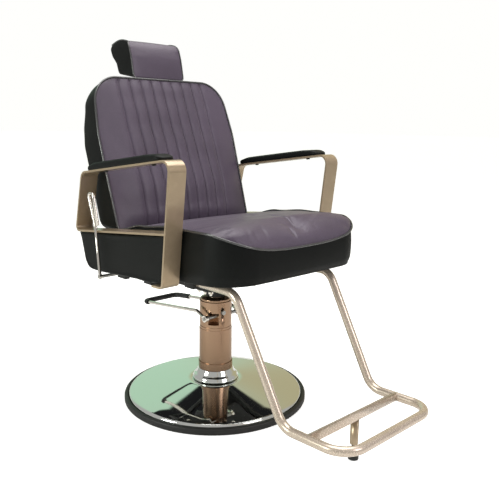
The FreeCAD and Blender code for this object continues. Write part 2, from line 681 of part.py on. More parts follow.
def make_back():
    """Padded back with its rear board, hinge arms, and the socket for the headrest post."""
    lean = size("back_lean")
    depth = size("back_depth")
    length = size("back_length")
    level = math.tan(math.radians(lean))
    profile = [
        (*leaned(0, 0), 10), (*leaned(level * depth, depth), 6), (*leaned(260, depth), 200),
        (*leaned(350, depth - 9), 200), (*leaned(430, depth - 36), 100), (*leaned(492, 62), 40),
        (*leaned(length, 34), 20), (*leaned(length, 0), 12), (*leaned(380, -8), 200),
        (*leaned(150, -18), 150), (*leaned(60, -12), 100)]
    side_block = padded("back_profile", "YZ_Plane", [profile], "580", x="-290")
    outline = [
        Part.LineSegment(V(-274, -60, 0), V(-281, 320, 0)),
        Part.Arc(V(-281, 320, 0), V(-259, 446, 0), V(-195, length, 0)),
        Part.LineSegment(V(-195, length, 0), V(195, length, 0)),
        Part.Arc(V(195, length, 0), V(259, 446, 0), V(281, 320, 0)),
        Part.LineSegment(V(281, 320, 0), V(274, -60, 0)),
        Part.LineSegment(V(274, -60, 0), V(-274, -60, 0))]
    rise_y, rise_z = leaned(0, 300)
    front_block = padded("back_outline", "XZ_Plane", [outline], "400", "0", str(rise_y), str(rise_z),
                         FreeCAD.Rotation(AXIS_X, -lean))
    socket_low = 350.0
    socket_depth = 50.0
    socket_length = 140.0
    corner_y, corner_z = leaned(socket_low, socket_depth)
    turn = FreeCAD.Rotation(AXIS_X, -lean)
    socket_outer = block("headrest_socket_outer", "post_width + 8", "post_depth + 8", str(socket_length),
                         "-post_width / 2 - 4", str(corner_y), str(corner_z), turn)
    bore_y, bore_z = leaned(socket_low - 5, socket_depth + 4 - 0.06)
    socket_bore = block("headrest_socket_bore", "post_width + 0.12", "post_depth + 0.12",
                        str(socket_length + 10), "-post_width / 2 - 0.06", str(bore_y), str(bore_z), turn)
    slot = block("headrest_slot", "post_width + 8", "post_depth + 8", "260", "-post_width / 2 - 4",
                 str(corner_y), str(corner_z), turn)
    keep(cut("back_cushion", common("back_cushion", side_block, front_block), slot), "back_cushion")
    keep(cut("headrest_socket", socket_outer, socket_bore), "headrest_socket")

    thick = size("back_board")
    rear = [
        (*leaned(level * depth + 4, depth + 0.1), 0),
        (*leaned(level * (depth + thick) + 4, depth + thick), 3),
        (*leaned(252, depth + thick), 3), (*leaned(252, depth + 0.1), 0)]
    keep(padded("back_rear_board", "YZ_Plane", [rear], "500", x="-250"), "back_rear_board")

    hinge_y = size("hinge_y")
    hinge_z = size("hinge_z")
    behind = depth + thick + 0.2
    start_y, start_z = leaned(level * behind + 3, behind)
    arm = [
        (hinge_y - 20, hinge_z - 20, 17), (hinge_y - 20, hinge_z + 21, 17), (start_y - 8, start_z - 4, 2),
        (start_y, start_z, 0), (*leaned(190, behind), 6), (*leaned(184, behind + 24), 14),
        (start_y + 34, start_z - 14, 30), (hinge_y + 24, hinge_z - 20, 16)]
    for side, sign in SIDES.items():
        right_low = "-plate_half_gap - plate_thickness - 9.5"
        low = "plate_half_gap + plate_thickness + 1.5" if sign > 0 else right_low
        bar = padded(f"back_hinge_arm_{side}", "YZ_Plane", [arm], "8", x=low)
        hole = cylinder(f"back_hinge_arm_{side}_hole", "hinge_pin_radius + running_fit", "8", low, "hinge_y",
                        "hinge_z", ALONG_X)
        keep(cut(f"back_hinge_arm_{side}", bar, hole), f"back_hinge_arm_{side}")


def make_headrest():
    """Wedge-shaped pad on a flat steel post."""
    pad = [
        (302, 1056, 9), (307, 1090, 60), (313, 1124, 80), (330, 1171, 16), (370, 1184, 60), (404, 1181, 40),
        (432, 1169, 16), (443, 1153, 12), (431, 1125, 20), (419, 1110, 4), (406, 1107, 4), (395, 1069, 10)]
    block_pad = padded("headrest_profile", "YZ_Plane", [pad], "headrest_width", x="-headrest_width / 2")
    turn = FreeCAD.Rotation(AXIS_X, -size("back_lean"))
    post_y, post_z = leaned(372, 54)
    length = 192.0
    post = block("headrest_post", "post_width", "post_depth", str(length), "-post_width / 2", str(post_y),
                 str(post_z), turn)
    keep(cut("headrest_pad", block_pad, post), "headrest_pad")
    keep(post, "headrest_post")


# ---------------------------------------------------------------- gas spring and recline lever

def make_gas_spring():
    """Gas spring from the rear cross tube to the back, with a bracket and pin at each end."""
    foot = V(0, size("spring_foot_y"), size("spring_foot_z"))
    head = V(0, size("spring_head_y"), size("spring_head_z"))
    along = (head - foot).normalize()
    reach = (head - foot).Length
    pin = size("spring_pin_radius")
    body_length = 112.0
    rod_start = 92.0
    eye_width = 12.0
    half = eye_width / 2
    tank = Part.makeCylinder(size("spring_radius"), body_length - 12, foot + along * 24, along)
    eye = Part.makeCylinder(10, eye_width, foot - AXIS_X * half, AXIS_X)
    neck = Part.makeCylinder(5, 26, foot, along)
    pin_hole = Part.makeCylinder(pin + size("running_fit"), 40, foot - AXIS_X * 20, AXIS_X)
    rod_hole = Part.makeCylinder(size("spring_rod_radius") + size("running_fit"), body_length,
                                 foot + along * 30, along)
    cylinder_shape = tank.fuse([eye, neck]).cut(pin_hole).cut(rod_hole).removeSplitter()
    keep(as_shape("gas_spring_cylinder", cylinder_shape), "gas_spring_cylinder")
    rod = Part.makeCylinder(size("spring_rod_radius"), reach - 12 - rod_start, foot + along * rod_start,
                            along)
    end_eye = Part.makeCylinder(14, eye_width, head - AXIS_X * half, AXIS_X)
    loose_hole = Part.makeCylinder(pin + 5, 40, head - AXIS_X * 20, AXIS_X)
    keep(as_shape("gas_spring_rod", rod.fuse(end_eye).cut(loose_hole).removeSplitter()), "gas_spring_rod")

    tube_centre = V(0, foot.y, foot.z - 25)
    lug = Part.makeBox(24, 30, 33, V(-12, foot.y - 15, foot.z - 25))
    lug = lug.cut(Part.makeBox(13, 60, 60, V(-6.5, foot.y - 30, foot.z - 10.6)))
    lug = lug.cut(Part.makeCylinder(12, 300, tube_centre - AXIS_X * 150, AXIS_X))
    lug = lug.cut(Part.makeCylinder(pin, 60, foot - AXIS_X * 30, AXIS_X))
    keep(as_shape("gas_spring_lower_bracket", lug), "gas_spring_lower_bracket")
    keep(cylinder("gas_spring_lower_pin", "spring_pin_radius", "28", "-14", "spring_foot_y", "spring_foot_z",
                  ALONG_X), "gas_spring_lower_pin")

    behind = size("back_depth") + size("back_board") + 0.2
    lean = size("back_lean")
    base_y, base_z = leaned(93, behind)
    bracket = Part.makeBox(28, 40, 36, V(-14, 0, 0))
    bracket = bracket.cut(Part.makeBox(14, 60, 80, V(-7, 5, -20)))
    bracket.Placement = FreeCAD.Placement(V(0, base_y, base_z), FreeCAD.Rotation(AXIS_X, -lean))
    bracket = bracket.cut(Part.makeCylinder(pin, 60, head - AXIS_X * 30, AXIS_X))
    keep(as_shape("gas_spring_upper_bracket", bracket), "gas_spring_upper_bracket")
    keep(cylinder("gas_spring_upper_pin", "spring_pin_radius", "32", "-16", "spring_head_y", "spring_head_z",
                  ALONG_X), "gas_spring_upper_pin")


def make_lever():
    """Recline lever: a cross shaft under the seat and a rod that ends in a hairpin handle."""
    lever_x = -size("lever_x")
    rod = size("lever_rod_radius")
    centre = V(lever_x, size("lever_y"), size("lever_z"))
    keep(cylinder("lever_shaft", "lever_shaft_radius", "lever_x + 5 - 60", "-lever_x - 5", "lever_y",
                  "lever_z", ALONG_X), "lever_shaft")
    route = [centre, V(lever_x, 149, 590), V(lever_x, 186, 692), V(lever_x, 158, 692), V(lever_x, 136, 598)]
    handle = bent_rod(route, [60, 8.5, 8.5], rod)
    boss = Part.makeCylinder(size("lever_boss_radius"), 2 * rod, centre - AXIS_X * rod, AXIS_X)
    hole = Part.makeCylinder(size("lever_shaft_radius"), 40, centre - AXIS_X * 20, AXIS_X)
    keep(as_shape("recline_lever", handle.fuse(boss).cut(hole)), "recline_lever")
    crank = block("release_crank_bar", "8", "10", "26", "-72", "lever_y - 5", "lever_z - 28")
    crank_hub = cylinder("release_crank_hub", "lever_boss_radius", "8", "-72", "lever_y", "lever_z", ALONG_X)
    crank_hole = cylinder("release_crank_hole", "lever_shaft_radius", "8", "-72", "lever_y", "lever_z",
                          ALONG_X)
    keep(cut("release_crank", fuse("release_crank", crank, crank_hub), crank_hole), "release_crank")
    bearing = block("lever_bearing_block", "16", "44", "22", "-282", "102", "426.5")
    bearing_hole = cylinder("lever_bearing_hole", "lever_shaft_radius + running_fit", "16", "-282", "lever_y",
                            "lever_z", ALONG_X)
    keep(cut("lever_bearing", bearing, bearing_hole), "lever_bearing")


def check_document():
    """Stop if any object failed or any sub-part is empty, invalid or without a solid."""
    DOC.recompute()
    for thing in DOC.Objects:
        if "Invalid" in thing.State or "Error" in thing.State:
            raise RuntimeError(f"{thing.Name} failed: {thing.State}")
    for node in NODES:
        if node.Shape.isNull() or not node.Shape.isValid() or not node.Shape.Solids:
            raise RuntimeError(f"{node.Label} has no valid solid")


def write_parts():
    """Write each sub-part to its own file."""
    os.makedirs("parts", exist_ok=True)
    for node in NODES:
        node.Shape.exportStep(f"parts/{node.Label}.step")
        print(f"{node.Label}: {node.Shape.Volume / 1000:.1f} cm3, {len(node.Shape.Solids)} solid(s)")


make_base()
make_column()
make_pedal()
make_seat_hub()
make_seat()
make_sides()
make_footrest()
make_back()
make_headrest()
make_gas_spring()
make_lever()
check_document()
write_parts()
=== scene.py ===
"""Hydraulic barber chair: padded leather work, finishes, floor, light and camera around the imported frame."""

import json
import logging
import math
import random
from collections.abc import Callable, Sequence
from dataclasses import dataclass, field
from enum import Enum

import bmesh
import bpy
from mathutils import Matrix, Vector


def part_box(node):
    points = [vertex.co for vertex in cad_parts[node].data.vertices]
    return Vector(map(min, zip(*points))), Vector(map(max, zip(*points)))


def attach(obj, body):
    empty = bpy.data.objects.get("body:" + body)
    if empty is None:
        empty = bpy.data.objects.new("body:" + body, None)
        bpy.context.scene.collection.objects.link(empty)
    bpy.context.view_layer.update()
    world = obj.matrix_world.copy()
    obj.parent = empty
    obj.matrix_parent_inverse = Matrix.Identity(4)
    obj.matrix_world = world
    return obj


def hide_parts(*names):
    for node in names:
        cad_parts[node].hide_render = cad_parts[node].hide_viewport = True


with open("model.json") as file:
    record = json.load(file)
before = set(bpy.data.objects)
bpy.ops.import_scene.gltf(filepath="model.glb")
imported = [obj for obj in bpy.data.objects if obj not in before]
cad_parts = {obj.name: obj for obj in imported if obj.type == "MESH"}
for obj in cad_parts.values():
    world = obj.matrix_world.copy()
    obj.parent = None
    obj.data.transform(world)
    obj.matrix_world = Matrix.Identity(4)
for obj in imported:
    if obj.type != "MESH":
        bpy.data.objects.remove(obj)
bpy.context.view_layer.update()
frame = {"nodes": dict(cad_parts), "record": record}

LOG = logging.getLogger("barber_chair")
MM = 0.001
MICRON = 0.000001

# Padded pieces start as a unit block. Above FACE_W is its face, below BASE_W its base, and past RIM its edge.
FACE_W = 0.999
BASE_W = 0.001
RIM = 0.999
ON_SEAM = 0.3 * MM

Pair = tuple[float, float]
Colour = tuple[float, float, float]


def as_object(mesh: bpy.types.Mesh) -> bpy.types.Object:
    """Puts a mesh into the scene under its own name.

    Args:
        mesh: The mesh, with its points already in place.

    Returns:
        The object, at the origin.
    """
    obj = bpy.data.objects.new(mesh.name, mesh)
    bpy.context.scene.collection.objects.link(obj)
    return obj


def as_mesh(bm: bmesh.types.BMesh, name: str) -> bpy.types.Mesh:
    """Turns a bmesh into a named mesh and frees it.

    Args:
        bm: The bmesh.
        name: The mesh's name.

    Returns:
        The mesh.
    """
    mesh = bpy.data.meshes.new(name)
    bm.to_mesh(mesh)
    bm.free()
    return mesh


def colour_mix(tree: bpy.types.NodeTree, mask: bpy.types.NodeSocket, low: object,
               high: object) -> bpy.types.NodeSocket:
    """Adds a node that mixes two colours by a mask.

    Args:
        tree: The tree that gets the node.
        mask: The mask's socket.
        low: Colour or socket where the mask is 0.
        high: Colour or socket where it is 1.

    Returns:
        The mixed colour's socket.
    """
    mix = tree.nodes.new("ShaderNodeMix")
    mix.data_type = "RGBA"
    tree.links.new(mask, mix.inputs["Factor"])
    for socket, value in ((mix.inputs[6], low), (mix.inputs[7], high)):
        if isinstance(value, bpy.types.NodeSocket):
            tree.links.new(value, socket)
        else:
            socket.default_value = (*value, 1.0)
    return mix.outputs[2]


# ---------------------------------------------------------------- shader groups

class Effect(Enum):
    """Shader groups that several finishes share."""

    GRAIN = "leather_grain"
    MOTTLE = "mottle"
    WEAR = "edge_wear"
    DUST = "dust"


class Group:
    """Builds one shader node group with named inputs and outputs."""

    def __init__(self, effect: Effect, inputs: dict[str, float], outputs: dict[str, str]) -> None:
        """Makes the empty group.

        Args:
            effect: Which shared effect this is.
            inputs: Value inputs and their defaults.
            outputs: Output names and socket kinds.
        """
        self.tree = bpy.data.node_groups.new(effect.value, "ShaderNodeTree")
        for name, value in inputs.items():
            socket = self.tree.interface.new_socket(name, in_out="INPUT", socket_type="NodeSocketFloat")
            socket.default_value = value
        for name, kind in outputs.items():
            self.tree.interface.new_socket(name, in_out="OUTPUT", socket_type=kind)
        self.source = self.tree.nodes.new("NodeGroupInput")
        self.sink = self.tree.nodes.new("NodeGroupOutput")

    def node(self, kind: str, **settings: object) -> bpy.types.Node:
        """Adds a node and sets its properties.

        Args:
            kind: The node's type.
            **settings: Its properties.

        Returns:
            The node.
        """
        made = self.tree.nodes.new(kind)
        for name, value in settings.items():
            setattr(made, name, value)
        return made

    def link(self, start: bpy.types.NodeSocket, end: bpy.types.NodeSocket) -> None:
        """Joins two sockets."""
        self.tree.links.new(start, end)

    def math(self, operation: str, first: object, second: object = 0.5,
             clamp: bool = False) -> bpy.types.NodeSocket:
        """Adds a Math node.

        Args:
            operation: Its operation.
            first: A socket or a number.
            second: A socket or a number.
            clamp: Whether the result stays from 0 to 1.

        Returns:
            The result's socket.
        """
        made = self.node("ShaderNodeMath", operation=operation, use_clamp=clamp)
        for socket, value in zip(made.inputs, (first, second)):
            if isinstance(value, bpy.types.NodeSocket):
                self.link(value, socket)
            else:
                socket.default_value = value
        return made.outputs[0]

    def noise(self, where: bpy.types.NodeSocket, scale: object, detail: float = 3.0,
              distortion: float = 0.0) -> bpy.types.NodeSocket:
        """Adds a Noise node and returns its value.

        Args:
            where: The pattern's coordinates.
            scale: A socket or a number.
            detail: Layers of detail.
            distortion: How far it is warped.

        Returns:
            The value's socket.
        """
        made = self.node("ShaderNodeTexNoise")
        self.link(where, made.inputs["Vector"])
        made.inputs["Detail"].default_value = detail
        made.inputs["Distortion"].default_value = distortion
        if isinstance(scale, bpy.types.NodeSocket):
            self.link(scale, made.inputs["Scale"])
        else:
            made.inputs["Scale"].default_value = scale
        return made.outputs["Fac"]

    def ramp(self, value: bpy.types.NodeSocket, low: float, high: float) -> bpy.types.NodeSocket:
        """Maps low…high to 0…1 with soft ends.

        Args:
            value: The socket to read.
            low: Value that becomes 0.
            high: Value that becomes 1.

        Returns:
            The result's socket.
        """
        made = self.node("ShaderNodeMapRange", interpolation_type="SMOOTHSTEP")
        self.link(value, made.inputs["Value"])
        made.inputs["From Min"].default_value = low
        made.inputs["From Max"].default_value = high
        return made.outputs["Result"]

    def place(self) -> bpy.types.NodeSocket:
        """Object coordinates, in metres."""
        return self.node("ShaderNodeTexCoord").outputs["Object"]


def build_grain() -> None:
    """Pebbled leather: small cells between fine creases, over broad soft creases; the second output marks the
    low ground between cells for painted shade.
    """
    group = Group(Effect.GRAIN, {"Scale": 700.0, "Creases": 0.35},
                  {"Height": "NodeSocketFloat", "Valley": "NodeSocketFloat"})
    where = group.place()
    cells = group.node("ShaderNodeTexVoronoi", feature="SMOOTH_F1")
    cells.inputs["Smoothness"].default_value = 0.35
    group.link(where, cells.inputs["Vector"])
    group.link(group.source.outputs["Scale"], cells.inputs["Scale"])
    pebble = group.ramp(cells.outputs["Distance"], 0.75, 0.15)
    pores = group.noise(where, 2600.0, 2.0)
    folds = group.noise(where, 75.0, 4.0, 1.4)
    ridge = group.math("ABSOLUTE", group.math("SUBTRACT", folds, 0.5))
    fold = group.ramp(ridge, 0.0, 0.06)
    soft = group.math("MULTIPLY", fold, group.source.outputs["Creases"])
    height = group.math("ADD", group.math("MULTIPLY", pebble, 0.55), group.math("MULTIPLY", pores, 0.15))
    group.link(group.math("ADD", height, soft), group.sink.inputs["Height"])
    group.link(group.math("SUBTRACT", 1.0, pebble), group.sink.inputs["Valley"])


def build_mottle() -> None:
    """Broad and fine tone changes."""
    group = Group(Effect.MOTTLE, {"Scale": 9.0}, {"Broad": "NodeSocketFloat", "Fine": "NodeSocketFloat"})
    where = group.place()
    group.link(group.ramp(group.noise(where, group.source.outputs["Scale"], 4.0, 0.4), 0.3, 0.7),
               group.sink.inputs["Broad"])
    group.link(group.noise(where, 420.0, 3.0), group.sink.inputs["Fine"])


def build_wear() -> None:
    """Worn edges, broken up by noise."""
    group = Group(Effect.WEAR, {"Amount": 0.5}, {"Mask": "NodeSocketFloat"})
    where = group.place()
    edge = group.ramp(group.node("ShaderNodeNewGeometry").outputs["Pointiness"], 0.53, 0.62)
    patchy = group.ramp(group.noise(where, 60.0, 5.0, 0.6), 0.45, 0.7)
    worn = group.math("MULTIPLY", group.math("MULTIPLY", edge, patchy), group.source.outputs["Amount"], True)
    group.link(worn, group.sink.inputs["Mask"])


def build_dust() -> None:
    """Dust on surfaces that face up, with faint smears."""
    group = Group(Effect.DUST, {"Amount": 0.3}, {"Mask": "NodeSocketFloat", "Smear": "NodeSocketFloat"})
    where = group.place()
    split = group.node("ShaderNodeSeparateXYZ")
    group.link(group.node("ShaderNodeNewGeometry").outputs["Normal"], split.inputs[0])
    up = group.ramp(split.outputs["Z"], 0.2, 0.95)
    specks = group.ramp(group.noise(where, 900.0, 4.0), 0.55, 0.75)
    clouds = group.ramp(group.noise(where, 14.0, 4.0, 0.8), 0.35, 0.75)
    dust = group.math("MULTIPLY", group.math("MULTIPLY", up, specks), clouds)
    group.link(group.math("MULTIPLY", dust, group.source.outputs["Amount"], True), group.sink.inputs["Mask"])
    group.link(clouds, group.sink.inputs["Smear"])


# ---------------------------------------------------------------- finishes

class Look:
    """One material in the making."""

    def __init__(self, name: str) -> None:
        """Starts a material with an empty tree.

        Args:
            name: The finish's name.
        """
        self.material = bpy.data.materials.new(name)
        self.material.use_nodes = True
        self.tree = self.material.node_tree
        self.shader = self.tree.nodes["Principled BSDF"]

    def use(self, effect: Effect, **values: float) -> bpy.types.Node:
        """Places a shared group with this finish's own values.

        Args:
            effect: Which group.
            **values: Values for the group's inputs.

        Returns:
            The group node.
        """
        made = self.tree.nodes.new("ShaderNodeGroup")
        made.node_tree = bpy.data.node_groups[effect.value]
        for name, value in values.items():
            made.inputs[name].default_value = value
        return made

    def set(self, **values: object) -> None:
        """Sets plain values on the shader, with _ for a space."""
        for name, value in values.items():
            self.shader.inputs[name.replace("_", " ")].default_value = value

    def blend(self, mask: bpy.types.NodeSocket, low: object, high: object) -> bpy.types.NodeSocket:
        """Mixes two colours by a mask."""
        return colour_mix(self.tree, mask, low, high)

    def span(self, mask: bpy.types.NodeSocket, low: float, high: float) -> bpy.types.NodeSocket:
        """Maps a 0…1 mask to a range of values.

        Args:
            mask: The mask's socket.
            low: Value where the mask is 0.
            high: Value where it is 1.

        Returns:
            The result's socket.
        """
        made = self.tree.nodes.new("ShaderNodeMapRange")
        self.tree.links.new(mask, made.inputs["Value"])
        made.inputs["To Min"].default_value = low
        made.inputs["To Max"].default_value = high
        return made.outputs["Result"]

    def wire(self, value: bpy.types.NodeSocket, name: str) -> None:
        """Feeds a socket of the shader."""
        self.tree.links.new(value, self.shader.inputs[name])

    def bump(self, height: bpy.types.NodeSocket, depth: float, strength: float = 1.0) -> None:
        """Feeds the shader's normal from a height.

        Args:
            height: Height from 0 to 1.
            depth: What 1 stands for, in metres.
            strength: How much of it shows.
        """
        made = self.tree.nodes.new("ShaderNodeBump")
        made.inputs["Strength"].default_value = strength
        made.inputs["Distance"].default_value = depth
        self.tree.links.new(height, made.inputs["Height"])
        self.wire(made.outputs["Normal"], "Normal")


@dataclass(frozen=True)
class Leather:
    """Upholstery leather."""

    name: str
    colour: Colour
    shade: Colour
    rough: float
    sheen: float
    grain: float = 700.0
    depth: float = 220 * MICRON
    gloss: float = 0.4
    valley_shade: float = 0.55

    def build(self) -> bpy.types.Material:
        """Makes the material.

        Returns:
            The leather's material.
        """
        look = Look(self.name)
        grain = look.use(Effect.GRAIN, Scale=self.grain, Creases=0.18)
        mottle = look.use(Effect.MOTTLE, Scale=7.0)
        wear = look.use(Effect.WEAR, Amount=0.35)
        base = look.blend(mottle.outputs["Broad"], self.shade, self.colour)
        paler = tuple(min(1.0, c * 1.7 + 0.006) for c in self.colour)
        worn = look.blend(wear.outputs["Mask"], base, paler)
        # Painted shade: the grain's valleys get a darker colour.
        valley_shade_colour = tuple(c * 0.6 for c in self.shade)
        valley_shade_mask = look.tree.nodes.new("ShaderNodeMath")
        valley_shade_mask.operation = "MULTIPLY"
        valley_shade_mask.inputs[1].default_value = self.valley_shade
        look.tree.links.new(grain.outputs["Valley"], valley_shade_mask.inputs[0])
        look.wire(look.blend(valley_shade_mask.outputs[0], worn, valley_shade_colour), "Base Color")
        look.wire(look.span(mottle.outputs["Fine"], self.rough - 0.07, self.rough + 0.08), "Roughness")
        look.set(Specular_IOR_Level=self.gloss, Sheen_Weight=self.sheen, Sheen_Roughness=0.45)
        look.bump(grain.outputs["Height"], self.depth, 0.75)
        return look.material


@dataclass(frozen=True)
class Paint:
    """Sprayed metallic paint on steel."""

    name: str
    colour: Colour
    shade: Colour
    rough: float = 0.3
    metal: float = 0.55
    texture: float = 20 * MICRON
    dust: Colour = (0.62, 0.6, 0.56)

    def build(self) -> bpy.types.Material:
        """Makes the material.

        Returns:
            The paint's material.
        """
        look = Look(self.name)
        mottle = look.use(Effect.MOTTLE, Scale=6.0)
        wear = look.use(Effect.WEAR, Amount=0.1)
        dust = look.use(Effect.DUST, Amount=0.05)
        base = look.blend(mottle.outputs["Broad"], self.shade, self.colour)
        bare = look.blend(wear.outputs["Mask"], base, tuple(min(1.0, c * 1.5) for c in self.colour))
        look.wire(look.blend(dust.outputs["Mask"], bare, self.dust), "Base Color")
        look.wire(look.span(mottle.outputs["Fine"], self.rough - 0.04, self.rough + 0.05), "Roughness")
        look.set(Metallic=self.metal, Coat_Weight=0.35, Coat_Roughness=0.12)
        if self.texture:
            look.bump(mottle.outputs["Fine"], self.texture, 0.4)
        return look.material


@dataclass(frozen=True)
class Metal:
    """Bare, brushed or plated metal."""

    name: str
    colour: Colour
    rough: float
    smear: float = 0.05
    dirt: Colour = (0.05, 0.05, 0.05)
    metal: float = 1.0
    bump: float = 0.0
    dust: float = 0.2

    def build(self) -> bpy.types.Material:
        """Makes the material.

        Returns:
            The metal's material.
        """
        look = Look(self.name)
        dust = look.use(Effect.DUST, Amount=self.dust)
        mottle = look.use(Effect.MOTTLE, Scale=18.0)
        look.wire(look.blend(dust.outputs["Mask"], self.colour, self.dirt), "Base Color")
        look.wire(look.span(dust.outputs["Smear"], self.rough, self.rough + self.smear), "Roughness")
        look.set(Metallic=self.metal)
        if self.bump:
            look.bump(mottle.outputs["Fine"], self.bump, 0.5)
        return look.material


@dataclass(frozen=True)
class Moulded:
    """Rubber or moulded plastic."""

    name: str
    colour: Colour
    rough: float
    bump: float = 100 * MICRON
    dust: float = 0.4
    dirt: Colour = (0.3, 0.29, 0.27)

    def build(self) -> bpy.types.Material:
        """Makes the material.

        Returns:
            The moulding's material.
        """
        look = Look(self.name)
        mottle = look.use(Effect.MOTTLE, Scale=15.0)
        wear = look.use(Effect.WEAR, Amount=0.5)
        dust = look.use(Effect.DUST, Amount=self.dust)
        base = look.blend(mottle.outputs["Broad"], tuple(c * 0.75 for c in self.colour), self.colour)
        worn = look.blend(wear.outputs["Mask"], base, tuple(c * 2.2 + 0.02 for c in self.colour))
        look.wire(look.blend(dust.outputs["Mask"], worn, self.dirt), "Base Color")
        look.wire(look.span(mottle.outputs["Fine"], self.rough - 0.08, self.rough + 0.08), "Roughness")
        look.bump(mottle.outputs["Fine"], self.bump, 0.6)
        return look.material


@dataclass(frozen=True)
class Timber:
    """Dark stained plywood."""

    name: str
    colour: Colour

    def build(self) -> bpy.types.Material:
        """Makes the material.

        Returns:
            The board's material.
        """
        look = Look(self.name)
        mottle = look.use(Effect.MOTTLE, Scale=30.0)
        darker = tuple(c * 0.6 for c in self.colour)
        look.wire(look.blend(mottle.outputs["Broad"], darker, self.colour), "Base Color")
        look.wire(look.span(mottle.outputs["Fine"], 0.6, 0.8), "Roughness")
        look.bump(mottle.outputs["Fine"], 200 * MICRON, 0.5)
        return look.material


Finish = Leather | Paint | Metal | Moulded | Timber
# Top leather: black leather like the boxing, its colour made lighter and purple as painted front light on the
# face panels; partly kept as the chair's own two-tone.
FRONT_LIT_TOP_LEATHER = Leather("top_leather", (0.114, 0.088, 0.13), (0.088, 0.067, 0.1), 0.38, 0.05)
# Boxing leather: near-black leather whose faint green tint is painted green light spilling from the left.
BOXING_LEATHER_GREEN_SPILL = Leather("boxing_leather", (0.0072, 0.0084, 0.0079), (0.0052, 0.006, 0.0056), 0.46, 0.0,
                         gloss=0.13)
# Piping leather: black piping given a lighter grey colour as a painted highlight, besides its real gloss.
PIPING_LEATHER_PAINTED_HIGHLIGHT = Leather("piping_leather", (0.06, 0.06, 0.062), (0.04, 0.04, 0.042), 0.18, 0.0, 1400.0,
                         50 * MICRON, 1.0)
FINISHES = {
    "base_rubber": Moulded("base_rubber", (0.016, 0.016, 0.015), 0.5, dust=0.15),
    # Mirror chrome colour: its slight green tint is a painted green reflection.
    "mirror_chrome": Metal("mirror_chrome", (0.8, 0.82, 0.79), 0.035, 0.02, (0.5, 0.5, 0.47), dust=0.1),
    "cast_weight": Metal("cast_weight", (0.05, 0.05, 0.05), 0.7, 0.1, metal=0.6, bump=400 * MICRON),
    "black_steel": Metal("black_steel", (0.02, 0.02, 0.02), 0.4, 0.15, (0.07, 0.065, 0.06), 0.5,
                         100 * MICRON),
    "column_metal": Metal("column_metal", (0.37, 0.24, 0.158), 0.2, 0.05, (0.28, 0.18, 0.12), dust=0.1),
    "plain_steel": Metal("plain_steel", (0.42, 0.41, 0.39), 0.32, 0.15, bump=50 * MICRON),
    "polished_chrome": Metal("polished_chrome", (0.82, 0.78, 0.72), 0.09, 0.05, (0.5, 0.48, 0.44), dust=0.1),
    "grip_rubber": Moulded("grip_rubber", (0.014, 0.014, 0.015), 0.55, dust=0.15),
    "black_plastic": Moulded("black_plastic", (0.014, 0.014, 0.015), 0.35, 50 * MICRON, 0.1),
    "frame_paint": Paint("frame_paint", (0.46, 0.355, 0.235), (0.43, 0.33, 0.215)),
    "boxing_leather": BOXING_LEATHER_GREEN_SPILL,
    "top_leather": FRONT_LIT_TOP_LEATHER,
    "plywood": Timber("plywood", (0.03, 0.025, 0.02)),
}
FOOTREST_PAINT = Paint("footrest_paint", (0.68, 0.575, 0.475), (0.62, 0.52, 0.42), 0.26, 0.55, 0.0)
OWN_FINISH = {
    "footrest_tube": FOOTREST_PAINT,
    "footrest_cross_tube": FOOTREST_PAINT,
    "footrest_strut": FINISHES["frame_paint"],
    "ram_seal_cap": FINISHES["column_metal"],
}
THREAD = Moulded("sewing_thread", (0.03, 0.027, 0.032), 0.6, 0.0, 0.0)
LINING = Moulded("base_cloth", (0.012, 0.012, 0.012), 0.85, 300 * MICRON, 0.1)


class Palette:
    """Materials made so far, one for each finish."""

    def __init__(self) -> None:
        """Builds the shared groups."""
        build_grain()
        build_mottle()
        build_wear()
        build_dust()
        self.made: dict[str, bpy.types.Material] = {}

    def get(self, finish: Finish) -> bpy.types.Material:
        """Returns a finish's material, made on first use.

        Args:
            finish: The finish.

        Returns:
            Its material.
        """
        if finish.name not in self.made:
            self.made[finish.name] = finish.build()
        return self.made[finish.name]


# ---------------------------------------------------------------- outlines

def filleted(corners: Sequence[tuple[float, float, float]], steps: int = 10) -> list[Vector]:
    """Rounds the inner corners of an open polyline.

    Args:
        corners: Points with the radius of each corner.
        steps: Pieces of each rounding.

    Returns:
        The rounded polyline.
    """
    points = [Vector(corners[0][:2])]
    for before, here, after in zip(corners, corners[1:], corners[2:]):
        spot = Vector(here[:2])
        back = (Vector(before[:2]) - spot).normalized()
        ahead = (Vector(after[:2]) - spot).normalized()
        half = back.angle(ahead) / 2
        reach = here[2] / math.tan(half) if here[2] else 0.0
        start, end = spot + back * reach, spot + ahead * reach
        if not here[2]:
            points.append(spot)
            continue
        centre = spot + (back + ahead).normalized() * (here[2] / math.sin(half))
        for i in range(steps + 1):
            ray = (start - centre).lerp(end - centre, i / steps).normalized()
            points.append(centre + ray * here[2])
    points.append(Vector(corners[-1][:2]))
    return points


class Track:
    """A polyline that can be read by its share of length, or by its x."""

    def __init__(self, points: Sequence[Vector]) -> None:
        """Measures the polyline.

        Args:
            points: Its points in order.
        """
        self.points = list(points)
        self.marks = [0.0]
        for a, b in zip(self.points, self.points[1:]):
            self.marks.append(self.marks[-1] + (b - a).length)

    def at(self, share: float) -> Vector:
        """The point at a share of the length.

        Args:
            share: Share of the length, from 0 to 1.

        Returns:
            The point.
        """
        goal = min(max(share, 0.0), 1.0) * self.marks[-1]
        for i in range(1, len(self.marks)):
            if goal <= self.marks[i] or i == len(self.marks) - 1:
                step = self.marks[i] - self.marks[i - 1]
                part = (goal - self.marks[i - 1]) / step if step > 1e-9 else 0.0
                return self.points[i - 1].lerp(self.points[i], part)
        return self.points[-1].copy()

    def at_x(self, x: float) -> Vector:
        """The point at an x, on a track whose x only grows.

        Args:
            x: Where to read.

        Returns:
            The point.
        """
        for a, b in zip(self.points, self.points[1:]):
            if x <= b.x:
                span = b.x - a.x
                return a.lerp(b, (x - a.x) / span if span > 1e-9 else 0.0)
        return self.points[-1].copy()


